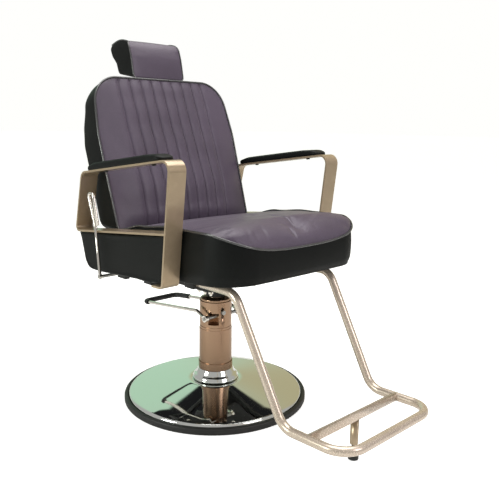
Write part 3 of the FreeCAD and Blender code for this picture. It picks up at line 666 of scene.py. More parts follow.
class Patch:
    """A four-sided panel filled from its edges."""

    def __init__(self, low: Track, high: Track, left: Track, right: Track, straight: float = 0.0) -> None:
        """Keeps the four edges.

        Args:
            low: Lower edge, left to right.
            high: Upper edge, left to right.
            left: Left edge, upwards.
            right: Right edge, upwards.
            straight: Half-width within which columns stay at a constant x, or 0 for none.
        """
        self.low, self.high, self.left, self.right = low, high, left, right
        self.straight = straight
        self.corners = [low.at(0), low.at(1), high.at(0), high.at(1)]
        self.half = max(p.x for p in right.points)

    def _edge(self, track: Track, s: float) -> Vector:
        """A point of the lower or upper edge.

        Args:
            track: The edge.
            s: Place across, from -1 to 1.

        Returns:
            The point.
        """
        if not self.straight:
            return track.at((s + 1) / 2)
        share = self.straight / self.half
        if abs(s) <= share:
            return track.at_x(s * self.half)
        end = track.at(1).x
        reach = self.straight + (end - self.straight) * (abs(s) - share) / (1 - share)
        return track.at_x(math.copysign(reach, s))

    def at(self, s: float, t: float) -> Vector:
        """The panel's point.

        Args:
            s: Across, from -1 to 1.
            t: Up, from -1 to 1.

        Returns:
            The point in the panel's own plane.
        """
        v = (t + 1) / 2
        u = (1 + s ** 3) / 2
        a, b, c, d = self.corners
        rows = self._edge(self.low, s) * (1 - v) + self._edge(self.high, s) * v
        sides = self.left.at(v) * (1 - u) + self.right.at(v) * u
        return rows + sides - ((a * (1 - v) + c * v) * (1 - u) + (b * (1 - v) + d * v) * u)


def mirrored_patch(half_outline: Sequence[Vector], first: Vector, second: Vector,
                   straight: float = 0.0) -> Patch:
    """Makes a patch from the right half of a symmetrical outline.

    Args:
        half_outline: Points from the low middle round the right side to the high middle.
        first: Point near which the lower edge ends.
        second: Point near which the right side ends.
        straight: Passed on to the patch.

    Returns:
        The patch.
    """
    points = list(half_outline)
    one = min(range(len(points)), key=lambda i: (points[i] - first).length)
    two = min(range(len(points)), key=lambda i: (points[i] - second).length)

    def flip(run: Sequence[Vector]) -> list[Vector]:
        """Mirrors points to the other side."""
        return [Vector((-p.x, p.y)) for p in run]

    low, side, high = points[:one + 1], points[one:two + 1], points[two:][::-1]
    return Patch(Track(flip(low)[::-1] + low[1:]), Track(flip(high)[::-1] + high[1:]), Track(flip(side)),
                 Track(side), straight)


# ---------------------------------------------------------------- padded pieces

def smooth(value: float) -> float:
    """Eases 0…1."""
    value = min(max(value, 0.0), 1.0)
    return value * value * (3 - 2 * value)


def table(value: float, rows: Sequence[Pair]) -> float:
    """Reads a smooth curve through a table.

    Args:
        value: Where to read.
        rows: Pairs in rising order.

    Returns:
        The value between the two nearest rows.
    """
    if value <= rows[0][0]:
        return rows[0][1]
    for (x0, y0), (x1, y1) in zip(rows, rows[1:]):
        if value <= x1:
            return y0 + (y1 - y0) * smooth((value - x0) / (x1 - x0))
    return rows[-1][1]


@dataclass(frozen=True)
class Groove:
    """A pulled-in line or dimple: a narrow dip inside a broad one."""

    deep: float
    narrow: float
    soft: float
    broad: float

    def at(self, away: float) -> float:
        """The dip at a distance from its middle."""
        inner = self.deep * math.exp(-(away / self.narrow) ** 2)
        return inner + self.soft * math.exp(-(away / self.broad) ** 2)


class Part(Enum):
    """The parts of a padded piece."""

    FACE = 0
    WALL = 1
    BASE = 2


@dataclass
class Padding:
    """A sewn, padded piece: a face inside a seam, a boxing strip round it and a base."""

    name: str
    body: str
    nodes: tuple[str, ...]
    slot: str
    face_finish: Leather
    wall_finish: Leather
    columns: list[float]
    rows: list[float]
    wall_steps: int = 10
    cap: float = 8 * MM
    pressure: float = 4.0
    fill: float = 0.7
    base_finish: Finish | None = None
    wall_hold: float = 0.5
    steps: int = 20
    keys: dict[int, tuple[float, float, float]] = field(default_factory=dict)

    def shape(self, s: float, t: float, w: float) -> Vector:
        """Where a point of the unit block goes. Each kind of padding has its own."""
        raise NotImplementedError

    def part_of(self, s: float, t: float, w: float) -> Part:
        """Which part a face of the unit block belongs to.

        Args:
            s: Place across, from -1 to 1.
            t: Place up or along, from -1 to 1.
            w: Place from base, 0, to face, 1.

        Returns:
            The part.
        """
        if w > FACE_W:
            return Part.FACE
        return Part.BASE if w < BASE_W else Part.WALL

    def block(self) -> bmesh.types.BMesh:
        """Makes the unit block: a grid drawn out into a box, with cut walls.

        Returns:
            The block, shaped, with its unit coordinates kept in self.keys.
        """
        bm = bmesh.new()
        across, up = len(self.columns) - 1, len(self.rows) - 1
        bmesh.ops.create_grid(bm, x_segments=across, y_segments=up, size=1.0)
        drawn = bmesh.ops.extrude_face_region(bm, geom=bm.faces[:])
        bmesh.ops.translate(bm, verts=[g for g in drawn["geom"] if isinstance(g, bmesh.types.BMVert)],
                            vec=(0.0, 0.0, 1.0))
        upright = [e for e in bm.edges if abs(e.verts[0].co.z - e.verts[1].co.z) > 0.5]
        bmesh.ops.subdivide_edges(bm, edges=upright, cuts=self.wall_steps - 1, use_grid_fill=True)
        bm.verts.index_update()
        for vert in bm.verts:
            i = round((vert.co.x + 1) / 2 * across)
            j = round((vert.co.y + 1) / 2 * up)
            self.keys[vert.index] = (self.columns[i], self.rows[j], vert.co.z)
        for face in bm.faces:
            points = [self.keys[v.index] for v in face.verts]
            mean = [sum(p[k] for p in points) / len(points) for k in range(3)]
            face.material_index = self.part_of(*mean).value
            face.smooth = True
        for vert in bm.verts:
            vert.co = self.shape(*self.keys[vert.index])
        bmesh.ops.recalc_face_normals(bm, faces=bm.faces[:])
        return bm

    def hold(self, s: float, t: float, w: float) -> float:
        """How firmly the sewing holds a point, from 0 to 1.

        Args:
            s: Place across, from -1 to 1.
            t: Place up or along, from -1 to 1.
            w: Place from base, 0, to face, 1.

        Returns:
            The hold, from 0 to 1.
        """
        if w < BASE_W:
            return 1.0
        if w > FACE_W:
            return 1.0 if max(abs(s), abs(t)) > RIM else 0.0
        return self.wall_hold

    def puff(self, obj: bpy.types.Object) -> None:
        """Swells the piece with a short cloth simulation and leaves no modifier behind.

        Args:
            obj: The piece.
        """
        rest = [v.co.copy() for v in obj.data.vertices]
        group = obj.vertex_groups.new(name="held")
        for index, key in self.keys.items():
            firm = self.hold(*key)
            if firm > 0:
                group.add([index], firm, "REPLACE")
        cloth = obj.modifiers.new("swell", "CLOTH")
        settings = cloth.settings
        settings.quality = 5
        settings.mass = 0.4
        settings.tension_stiffness = settings.compression_stiffness = 25
        settings.shear_stiffness = 12
        settings.bending_stiffness = 1.5
        settings.use_pressure = True
        settings.uniform_pressure_force = self.pressure
        settings.effector_weights.gravity = 0.0
        settings.vertex_group_mass = group.name
        cloth.collision_settings.use_collision = False
        cloth.point_cache.frame_end = self.steps
        scene = bpy.context.scene
        for step in range(1, self.steps + 1):
            scene.frame_set(step)
        graph = bpy.context.evaluated_depsgraph_get()
        swollen = [v.co.copy() for v in obj.evaluated_get(graph).data.vertices]
        scene.frame_set(1)
        obj.modifiers.remove(cloth)
        obj.vertex_groups.remove(group)
        for vert, start, end in zip(obj.data.vertices, rest, swollen):
            move = end - start
            if move.length > self.cap:
                move = move.normalized() * self.cap
            vert.co = start + move

    def sew(self, obj: bpy.types.Object) -> None:
        """Pulls seams in after the swelling. Each kind of padding may add to it."""

    def build(self, palette: Palette) -> bpy.types.Object:
        """Makes the finished piece.

        Args:
            palette: The materials.

        Returns:
            The piece, riding on its body.
        """
        mesh = as_mesh(self.block(), self.name)
        obj = as_object(mesh)
        for finish in (self.face_finish, self.wall_finish, self.base_finish or self.wall_finish):
            mesh.materials.append(palette.get(finish))
        self.puff(obj)
        self.sew(obj)
        refine = obj.modifiers.new("refine", "SUBSURF")
        refine.levels = refine.render_levels = 1
        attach(obj, self.body)
        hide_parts(*self.nodes)
        LOG.info("%s: %d faces", self.name, len(mesh.polygons))
        return obj

    def rim(self, obj: bpy.types.Object) -> list[Vector]:
        """The seam round the face, in order.

        Args:
            obj: The finished piece.

        Returns:
            Points of the closed seam.
        """
        found = {(k[0], k[1]): obj.data.vertices[i].co.copy() for i, k in self.keys.items()
                 if k[2] > FACE_W and max(abs(k[0]), abs(k[1])) > RIM}
        low = [(s, self.rows[0]) for s in self.columns]
        right = [(self.columns[-1], t) for t in self.rows[1:]]
        high = [(s, self.rows[-1]) for s in self.columns[-2::-1]]
        left = [(self.columns[0], t) for t in self.rows[-2:0:-1]]
        return [found[key] for key in low + right + high + left]


def even(count: int, low: float = -1.0, high: float = 1.0) -> list[float]:
    """Evenly spaced values, ends included."""
    return [low + (high - low) * i / count for i in range(count + 1)]


def with_seams(half: float, seams: Sequence[float], pitch: float, shoulder: Sequence[float]) -> list[float]:
    """Column positions with close columns beside each seam.

    Args:
        half: Half-width that 1 stands for.
        seams: Seam positions.
        pitch: Usual spacing.
        shoulder: Offsets of the close columns.

    Returns:
        Positions from -1 to 1.
    """
    marks = {-half, half}
    for seam in seams:
        marks.add(seam)
        for offset in shoulder:
            marks.update((seam - offset, seam + offset))
    fixed = sorted(marks)
    out: list[float] = []
    for a, b in zip(fixed, fixed[1:]):
        pieces = max(1, round((b - a) / pitch))
        out.extend(a + (b - a) * i / pieces for i in range(pieces))
    return [x / half for x in out + [fixed[-1]]]


# ---------------------------------------------------------------- trims

@dataclass
class Trim:
    """Piping and thread that follow a padded piece."""

    palette: Palette
    body: str

    def settle(self, mesh: bpy.types.Mesh, finish: Finish) -> None:
        """Makes a mesh a smooth piece that rides on the body.

        Args:
            mesh: The mesh, with the piece's name.
            finish: Its finish.
        """
        mesh.materials.clear()
        mesh.materials.append(self.palette.get(finish))
        for face in mesh.polygons:
            face.use_smooth = True
        obj = as_object(mesh)
        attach(obj, self.body)
        LOG.info("%s: %d faces", mesh.name, len(mesh.polygons))

    def tube(self, name: str, points: Sequence[Vector], radius: float, closed: bool = True) -> None:
        """Makes round piping through points, as a mesh.

        Args:
            name: The piece's name.
            points: Its line.
            radius: Its radius.
            closed: Whether the line joins up.
        """
        data = bpy.data.curves.new(name + "_line", "CURVE")
        data.dimensions = "3D"
        data.bevel_depth = radius
        data.bevel_resolution = 3
        data.use_fill_caps = not closed
        spline = data.splines.new("POLY")
        spline.points.add(len(points) - 1)
        for target, point in zip(spline.points, points):
            target.co = (*point, 1.0)
        spline.use_cyclic_u = closed
        carrier = bpy.data.objects.new(name + "_line", data)
        mesh = bpy.data.meshes.new_from_object(carrier)
        bpy.data.objects.remove(carrier)
        bpy.data.curves.remove(data)
        mesh.name = name
        self.settle(mesh, PIPING_LEATHER_PAINTED_HIGHLIGHT)

    def stitches(self, name: str, runs: Sequence[Sequence[Vector]], pitch: float, length: float,
                 thick: float) -> None:
        """Lays thread stitches along lines.

        Args:
            name: The piece's name.
            runs: Lines on the leather.
            pitch: Distance from stitch to stitch.
            length: Length of one stitch.
            thick: Thickness of the thread.
        """
        bm = bmesh.new()
        for run in runs:
            track = Track3(run)
            for i in range(1, int(track.length / pitch)):
                middle, heading = track.at(i * pitch)
                turn = heading.to_track_quat("X", "Z").to_matrix().to_4x4()
                size = Matrix.Diagonal((length / 2, thick / 2, thick / 2, 1.0))
                bmesh.ops.create_icosphere(bm, subdivisions=1, radius=1.0,
                                           matrix=Matrix.Translation(middle) @ turn @ size)
        self.settle(as_mesh(bm, name), THREAD)


class Track3:
    """A line in space, read by distance."""

    def __init__(self, points: Sequence[Vector]) -> None:
        """Measures the line.

        Args:
            points: Its points in order.
        """
        self.points = list(points)
        self.marks = [0.0]
        for a, b in zip(self.points, self.points[1:]):
            self.marks.append(self.marks[-1] + (b - a).length)
        self.length = self.marks[-1]

    def at(self, distance: float) -> tuple[Vector, Vector]:
        """The point at a distance, and the line's heading there.

        Args:
            distance: Length from the start, in metres.

        Returns:
            The point and the unit heading.
        """
        for i in range(1, len(self.marks)):
            if distance <= self.marks[i] or i == len(self.marks) - 1:
                step = max(self.marks[i] - self.marks[i - 1], 1e-9)
                part = (distance - self.marks[i - 1]) / step
                start, end = self.points[i - 1], self.points[i]
                return start.lerp(end, part), (end - start).normalized()
        return self.points[-1].copy(), Vector((1, 0, 0))


def pushed(points: Sequence[Vector], away: Callable[[Vector], Vector], distance: float) -> list[Vector]:
    """Moves points by a distance along a direction that depends on the point."""
    return [p + away(p).normalized() * distance for p in points]


# ---------------------------------------------------------------- seat

@dataclass
class SeatCushion(Padding):
    """Deep box cushion whose top rolls over the front edge down to a piped seam."""

    half: float = 281 * MM
    front: float = -389 * MM
    rear: float = 128 * MM
    bow: float = 10 * MM
    corner: float = 105 * MM
    inset: float = 5 * MM
    belly: float = 4 * MM
    dome: float = 5 * MM
    roll: float = 78 * MM
    straight: float = 170 * MM
    middle: float = -130 * MM
    tuft: Vector = field(default_factory=lambda: Vector((0.012, -0.338)))
    side_line: tuple[Pair, ...] = ((-0.28, 0.6215), (-0.13, 0.6195), (0.0, 0.607), (0.13, 0.58))
    ridge_line: tuple[Pair, ...] = ((-0.392, 0.612), (-0.35, 0.629), (-0.305, 0.634), (-0.24, 0.6295),
                                    (-0.15, 0.619), (0.0, 0.597), (0.13, 0.57))
    dimple: Groove = Groove(8 * MM, 26 * MM, 3 * MM, 70 * MM)
    rear_seam: Groove = Groove(2.6 * MM, 2.8 * MM, 1.8 * MM, 14 * MM)
    front_seam: Groove = Groove(4.6 * MM, 2.6 * MM, 3.0 * MM, 12 * MM)
    cross_fold: Groove = Groove(1.8 * MM, 7 * MM, 1.4 * MM, 20 * MM)
    fold_width: float = 4.5 * MM
    crest: float = -367 * MM
    crest_width: float = 24 * MM
    slant: float = 0.3

    def __post_init__(self) -> None:
        """Lays out the panel."""
        outline = filleted([(0, self.front + self.bow, 0), (self.half, self.front + self.bow, self.corner),
                            (self.half, self.rear, 30 * MM), (0, self.rear, 0)], 24)
        flat = self.half - self.corner
        lean = self.corner * math.sqrt(0.5)
        first = Vector((flat + lean, self.front + self.bow + self.corner - lean))
        second = Vector((self.half - 9 * MM, self.rear - 9 * MM))
        self.patch = mirrored_patch(outline, first, second, self.straight)

    def plan(self, s: float, t: float) -> Vector:
        """The panel's point from above, with the bowed front.

        Args:
            s: Place across, from -1 to 1.
            t: Place up or along, from -1 to 1.

        Returns:
            The point from above.
        """
        point = self.patch.at(s, t)
        share = 1 - (point.x / self.half) ** 2
        point.y -= self.bow * share * smooth((self.rear - point.y) / (self.rear - self.front))
        return point

    def seam_height(self, point: Vector) -> float:
        """Height of the piped seam: level along the sides, low round the front.

        Args:
            point: A point from above.

        Returns:
            The height in metres.
        """
        side = table(point.y, self.side_line)
        front = 0.572 + 49.5 * MM * (abs(point.x) / self.half) ** 3.3
        return side + (front - side) * smooth((-0.277 - point.y) / 0.05)

    def shape(self, s: float, t: float, w: float) -> Vector:
        """Where a point of the unit block goes.

        Args:
            s: Place across, from -1 to 1.
            t: Place up or along, from -1 to 1.
            w: Place from base, 0, to face, 1.

        Returns:
            The point in the chair.
        """
        point = self.plan(s, t)
        low = 0.472 - 0.0766 * (point.y + 0.175) - 3 * MM
        outward = Vector((point.x, point.y - self.middle)).normalized()
        if w < BASE_W:
            spot = point - outward * self.inset * min(1.0, max(abs(s), abs(t)) ** 6)
            return Vector((spot.x, spot.y, low))
        seam = self.seam_height(point)
        if w > FACE_W:
            away = min((1 - abs(s)) * self.half, (t + 1) / 2 * (self.rear - self.front),
                       (1 - t) / 2 * (self.rear - self.front) * 1.6)
            lift = 1 - (1 - min(away / self.roll, 1.0)) ** 3.3
            height = seam + (table(point.y, self.ridge_line) - seam) * lift
            dome = self.dome * (1 - (point.x / self.half) ** 2)
            return Vector((point.x, point.y, height + dome * lift))
        height = low + (seam - low) * w
        round_low = self.inset * (1 - smooth(w / 0.22)) if w < 0.22 else 0.0
        spot = point + outward * (self.belly * math.sin(math.pi * w) - round_low)
        return Vector((spot.x, spot.y, height))

    def seam_dip(self, x: float, y: float) -> float:
        """How far the tuft, the middle seam and the fold across it pull the top in.

        Args:
            x: Place across.
            y: Place along.

        Returns:
            The dip in metres.
        """
        dip = self.dimple.at((Vector((x, y)) - self.tuft).length)
        behind = smooth((y - self.tuft.y) / 0.02) * smooth((-0.02 - y) / 0.2)
        dip += behind * self.rear_seam.at(x - self.tuft.x - 0.035 * (y - self.tuft.y))
        over = smooth((-0.328 - y) / 0.025)
        dip += over * self.front_seam.at(x + 0.022 - 0.29 * (y + 0.345))
        arc = self.tuft.y + 0.3 * abs(x) * smooth(abs(x) / 0.15)
        side = smooth(1 - abs(x) / 0.25) * (1.0 if x > 0 else 0.35)
        return dip + side * self.cross_fold.at(y - arc)

    def sew(self, obj: bpy.types.Object) -> None:
        """Presses in the middle seam, the tuft and the folds that run from it.

        Args:
            obj: The piece.
        """
        rng = random.Random(11)
        folds = [(rng.uniform(0, 2 * math.pi), rng.uniform(0.05, 0.13), rng.uniform(0.5, 1.0) * 1.3 * MM)
                 for _ in range(16)]
        creases = [(rng.uniform(-0.24, 0.24), rng.uniform(0.02, 0.045), rng.uniform(0.5, 1.0) * 1.1 * MM)
                   for _ in range(18)]
        for index, (s, t, w) in self.keys.items():
            if w < FACE_W:
                continue
            vert = obj.data.vertices[index]
            x, y = vert.co.x, vert.co.y
            edge = smooth((1 - max(abs(s), abs(t))) / 0.12)
            off = Vector((x, y)) - self.tuft
            reach = off.length
            dip = self.seam_dip(x, y)
            angle = math.atan2(off.y, off.x)
            for heading, length, depth in folds:
                turn = math.remainder(angle - heading, 2 * math.pi)
                across = math.exp(-(turn * max(reach, 0.02) / self.fold_width) ** 2)
                along = math.exp(-((reach - length * 0.5) / (length * 0.45)) ** 2)
                dip += depth * across * along
            ahead = y - self.crest
            roll = math.exp(-(ahead / self.crest_width) ** 2)
            for middle, width, depth in creases:
                dip += roll * depth * math.exp(-((x - middle - self.slant * ahead) / (width * 0.12)) ** 2)
            vert.co.z -= dip * edge


# ---------------------------------------------------------------- back

LEAN = math.radians(17.5)
BACK_FOOT = Vector((0.0, 0.1408, 0.563))
BACK_UP = Vector((0.0, math.sin(LEAN), math.cos(LEAN)))
BACK_IN = Vector((0.0, math.cos(LEAN), -math.sin(LEAN)))
BACK_HALF = 0.278
BACK_SEAMS = tuple(i * 42 * MM for i in range(-4, 5))


def on_back(x: float, up: float, depth: float) -> Vector:
    """A point of the back, given across, along its front face and behind it."""
    return BACK_FOOT + Vector((x, 0, 0)) + BACK_UP * up + BACK_IN * depth


@dataclass
class BackCushion(Padding):
    """Tapered back with nine sewn lines between plain margins."""

    length: float = 507 * MM
    low: float = 3 * MM
    belly: float = 3 * MM
    rounding: float = 14 * MM
    line: Groove = Groove(3.2 * MM, 2.2 * MM, 2.2 * MM, 8 * MM)
    front_line: tuple[Pair, ...] = ((0.0, 9 * MM), (0.06, 22 * MM), (0.135, 31 * MM), (0.25, 22 * MM),
                                    (0.37, 12 * MM), (0.47, 5 * MM), (0.51, 2 * MM))
    rear_line: tuple[Pair, ...] = ((0.0, 0.124), (0.3, 0.124), (0.35, 0.115), (0.43, 0.089), (0.492, 0.062),
                                   (0.511, 0.034))

    def __post_init__(self) -> None:
        """Lays out the panel."""
        outline = filleted([(0, self.low, 0), (0.273, self.low, 0.026), (0.279, 0.32, 0.4),
                            (0.2585, self.length, 0.095), (0, self.length, 0)], 24)
        first = Vector((0.273 - 0.0076, self.low + 0.0076))
        second = Vector((0.241, self.length - 0.028))
        self.patch = mirrored_patch(outline, first, second, 0.18)

    def bulge(self, x: float, up: float) -> float:
        """How far the front stands before its seam."""
        return table(up, self.front_line) * (1 - min(1.0, abs(x) / 0.283) ** 3.2)

    def level_foot(self, up: float, depth: float) -> float:
        """Lifts a point low on the back so that the underside stays level."""
        return up + math.tan(LEAN) * depth * smooth((0.12 - up) / 0.12)

    def shape(self, s: float, t: float, w: float) -> Vector:
        """Where a point of the unit block goes.

        Args:
            s: Place across, from -1 to 1.
            t: Place up or along, from -1 to 1.
            w: Place from base, 0, to face, 1.

        Returns:
            The point in the chair.
        """
        point = self.patch.at(s, t)
        rear = table(point.y, self.rear_line)
        if w > FACE_W:
            away = min((1 - abs(s)) * 0.28, (1 - abs(t)) * self.length / 2)
            lift = 1 - (1 - min(away / 0.05, 1.0)) ** 2.4
            return on_back(point.x, point.y, -self.bulge(point.x, point.y) * lift)
        outward = Vector((point.x, point.y - 0.26)).normalized()
        if w < BASE_W:
            spot = point - outward * self.rounding * min(1.0, max(abs(s), abs(t)) ** 6)
            return on_back(spot.x, self.level_foot(spot.y, rear), rear)
        depth = rear * (1 - w)
        rounded = self.rounding * (1 - smooth(w / 0.25)) if w < 0.25 else 0.0
        spot = point + outward * (self.belly * math.sin(math.pi * w) - rounded)
        return on_back(spot.x, self.level_foot(spot.y, depth), depth)

    def hold(self, s: float, t: float, w: float) -> float:
        """The nine lines are held, and so is the rim.

        Args:
            s: Place across, from -1 to 1.
            t: Place up or along, from -1 to 1.
            w: Place from base, 0, to face, 1.

        Returns:
            The hold, from 0 to 1.
        """
        if w > FACE_W and self.on_line(s * self.patch.half):
            return 1.0
        return super().hold(s, t, w)

    def on_line(self, x: float) -> bool:
        """Whether an x is on one of the nine lines."""
        return min(abs(x - seam) for seam in BACK_SEAMS) < ON_SEAM

    def sew(self, obj: bpy.types.Object) -> None:
        """Sinks the nine lines and pillows the leather between them.

        Args:
            obj: The piece.
        """
        rng = random.Random(5)
        puckers = [rng.uniform(0, 6.28) for _ in BACK_SEAMS]
        for index, (s, t, w) in self.keys.items():
            if w < FACE_W:
                continue
            x = s * self.patch.half
            vert = obj.data.vertices[index]
            near = min(range(len(BACK_SEAMS)), key=lambda i: abs(x - BACK_SEAMS[i]))
            gap = abs(x - BACK_SEAMS[near])
            edge = smooth((1 - abs(t)) / 0.04)
            up = (vert.co - BACK_FOOT).dot(BACK_UP)
            pucker = 0.25 * MM * math.sin(up * 420 + puckers[near]) * math.exp(-(gap / 0.007) ** 2)
            vert.co += BACK_IN * (self.line.at(gap) + pucker) * edge

    def lines(self, obj: bpy.types.Object) -> list[list[Vector]]:
        """The nine sewn lines on the finished leather.

        Args:
            obj: The finished piece.

        Returns:
            One list of points for each line.
        """
        runs: dict[float, list[tuple[float, Vector]]] = {}
        for index, (s, t, w) in self.keys.items():
            if w > FACE_W and abs(t) < 0.97 and self.on_line(s * self.patch.half):
                runs.setdefault(round(s, 5), []).append((t, obj.data.vertices[index].co.copy()))
        return [[point for _, point in sorted(run, key=lambda item: item[0])] for run in runs.values()]


# ---------------------------------------------------------------- headrest

@dataclass
class HeadrestPad(Padding):
    """Wedge pad: one panel wraps its front and top, with plain sides."""

    half: float = 103 * MM
    front_line: Track = field(default_factory=lambda: Track([Vector(p) for p in (
        (0.3, 1.052), (0.3075, 1.088), (0.315, 1.123), (0.3265, 1.156), (0.336, 1.1705))]))
    rear_line: Track = field(default_factory=lambda: Track([Vector(p) for p in (
        (0.3935, 1.067), (0.407, 1.103), (0.432, 1.127), (0.4425, 1.15), (0.436, 1.165))]))

    def shape(self, s: float, t: float, w: float) -> Vector:
        """Where a point of the unit block goes.

        Args:
            s: Place across, from -1 to 1.
            t: Place up or along, from -1 to 1.
            w: Place from base, 0, to face, 1.

        Returns:
            The point in the chair.
        """
        v = (t + 1) / 2
        front, rear = self.front_line.at(v), self.rear_line.at(v)
        spot = rear.lerp(front, w)
        on_face = w > FACE_W
        crown = 5 * MM * (1 - abs(s) ** 6) * math.sin(math.pi * v) if on_face else 0.0
        top = 10 * MM * math.sin(math.pi * w) * smooth((v - 0.7) / 0.3)
        soften = 7 * MM * (abs(t) ** 14) * (1 if on_face else 0.6)
        side = self.half - soften * abs(s) ** 8
        return Vector((s * side, spot.x - crown, spot.y + top))

    def part_of(self, s: float, t: float, w: float) -> Part:
        """The face panel takes in the top.

        Args:
            s: Place across, from -1 to 1.
            t: Place up or along, from -1 to 1.
            w: Place from base, 0, to face, 1.

        Returns:
            The part.
        """
        if w > FACE_W or (t > RIM and w > BASE_W):
            return Part.FACE
        return Part.BASE if w < BASE_W else Part.WALL

    def hold(self, s: float, t: float, w: float) -> float:
        """Held along both side seams and behind.

        Args:
            s: Place across, from -1 to 1.
            t: Place up or along, from -1 to 1.
            w: Place from base, 0, to face, 1.

        Returns:
            The hold, from 0 to 1.
        """
        if abs(s) > RIM and (w > FACE_W or t > RIM):
            return 1.0
        if t < -RIM and (w > FACE_W or w < BASE_W):
            return 1.0
        return 0.8 if w < BASE_W else 0.0

    def side_seam(self, obj: bpy.types.Object, side: float) -> list[Vector]:
        """The seam up one side of the front and back over the top.

        Args:
            obj: The finished piece.
            side: -1 for the right side, 1 for the left.

        Returns:
            The seam's points in order.
        """
        found = {(k[0], k[1], round(k[2], 4)): obj.data.vertices[i].co.copy() for i, k in self.keys.items()}
        up = [found[(side, t, 1.0)] for t in self.rows]
        high = self.rows[-1]
        over = sorted({w for s, t, w in found if s == side and t == high and w < 0.9995}, reverse=True)
        return up + [found[(side, high, w)] for w in over]


# ---------------------------------------------------------------- side panels and arm pads

@dataclass
class SkirtPanel(Padding):
    """Padded panel that hangs under one side frame."""

    sign: int = -1
    inner: float = 291 * MM
    outer: float = 340 * MM
    soft_edge: float = 5 * MM

    def __post_init__(self) -> None:
        """Lays out the panel, front to rear and upwards, as (y, z)."""
        low = filleted([(-0.1685, 0.469, 0), (-0.1205, 0.465, 0.002), (-0.1145, 0.4608, 0.003),
                        (-0.092, 0.46, 0), (-0.046, 0.46, 0.06), (0.02, 0.4553, 0.06), (0.092, 0.4507, 0.1),
                        (0.15, 0.4484, 0.06), (0.212, 0.4484, 0.016), (0.2305, 0.4575, 0)], 8)
        rear = filleted([(0.2305, 0.4575, 0), (0.248, 0.473, 0.04), (0.2585, 0.5035, 0.06),
                         (0.2695, 0.5405, 0.06), (0.2795, 0.5605, 0)], 8)
        high = [Vector((-0.188, 0.609)), Vector((0.2795, 0.5605))]
        front = [Vector((-0.1685, 0.469)), Vector((-0.188, 0.609))]
        self.patch = Patch(Track(low), Track(high), Track(front), Track(rear))

    def shape(self, s: float, t: float, w: float) -> Vector:
        """Where a point of the unit block goes.

        Args:
            s: Place across, from -1 to 1.
            t: Place up or along, from -1 to 1.
            w: Place from base, 0, to face, 1.

        Returns:
            The point in the chair.
        """
        point = self.patch.at(s, t)
        middle = Vector((0.045, 0.525))
        away = (point - middle).normalized()
        if w > FACE_W:
            soft = self.soft_edge * smooth((max(abs(s), abs(t)) - 0.93) / 0.07) ** 2
            x = self.outer - soft * 0.7
            spot = point - away * soft * 0.25
            return Vector((self.sign * x, spot.x, spot.y))
        x = self.inner + (self.outer - 3.5 * MM - self.inner) * w
        spot = point - away * (1.25 * MM * smooth((w - 0.7) / 0.3))
        return Vector((self.sign * x, spot.x, spot.y))

    def hold(self, s: float, t: float, w: float) -> float:
        """Held behind only."""
        return 1.0 if w < BASE_W else 0.0


@dataclass
class ArmPad(Padding):
    """Slim pad along the top of one arm."""

    sign: int = -1
    centre: float = 316.5 * MM
    half: float = 28.5 * MM
    start: Vector = field(default_factory=lambda: Vector((-0.172, 0.8083)))
    run: float = 385 * MM
    slope: float = math.radians(7.52)
    margin: float = 1 * MM
    radius: float = 20 * MM
    rounding: float = 4 * MM
    belly: float = 1.2 * MM

    def __post_init__(self) -> None:
        """Lays out the pad from above, along the arm."""
        low, high = self.margin, self.run - self.margin
        outline = filleted([(0, low, 0), (self.half, low, self.radius), (self.half, high, self.radius),
                            (0, high, 0)], 12)
        lean = self.radius * (1 - math.sqrt(0.5))
        first = Vector((self.half - lean, low + lean))
        second = Vector((self.half - lean, high - lean))
        self.patch = mirrored_patch(outline, first, second)

    def thick(self, along: float) -> float:
        """Thickness of the pad along the arm."""
        return table(along, [(0.0, 0.011), (0.03, 0.019), (0.08, 0.0215), (0.33, 0.0215), (0.385, 0.0145)])

    def shape(self, s: float, t: float, w: float) -> Vector:
        """Where a point of the unit block goes.

        Args:
            s: Place across, from -1 to 1.
            t: Place up or along, from -1 to 1.
            w: Place from base, 0, to face, 1.

        Returns:
            The point in the chair.
        """
        point = self.patch.at(s, t)
        thick = self.thick(point.y)
        bulge = 0.0
        if w > FACE_W:
            height = thick - self.rounding * max(abs(s), abs(t) ** 4) ** 6
        else:
            height = (thick - self.rounding) * w
            if abs(s) > RIM:
                bulge = math.copysign(self.belly * math.sin(math.pi * w), s)
        x = self.sign * self.centre + point.x + bulge
        along, tall = point.y, height + 0.4 * MM
        y = self.start.x + along * math.cos(self.slope) + tall * math.sin(self.slope)
        z = self.start.y - along * math.sin(self.slope) + tall * math.cos(self.slope)
        return Vector((x, y, z))


@dataclass
class RearPanel(Padding):
    """Thin leather-covered board behind the back."""

    half: float = 249 * MM
    low: float = 47.5 * MM
    high: float = 250.5 * MM
    front: float = 126.3 * MM
    thick: float = 9.4 * MM

    def shape(self, s: float, t: float, w: float) -> Vector:
        """Where a point of the unit block goes.

        Args:
            s: Place across, from -1 to 1.
            t: Place up or along, from -1 to 1.
            w: Place from base, 0, to face, 1.

        Returns:
            The point in the chair.
        """
        up = self.low + (self.high - self.low) * (t + 1) / 2
        outer = self.thick - 3 * MM * smooth((max(abs(s), abs(t)) - 0.86) / 0.14)
        depth = self.front + outer * w
        round_corner = 12 * MM * (abs(s * t) ** 9)
        return on_back(s * (self.half - round_corner), up - math.copysign(round_corner, t), depth)


# ---------------------------------------------------------------- carried-over steel and plastic

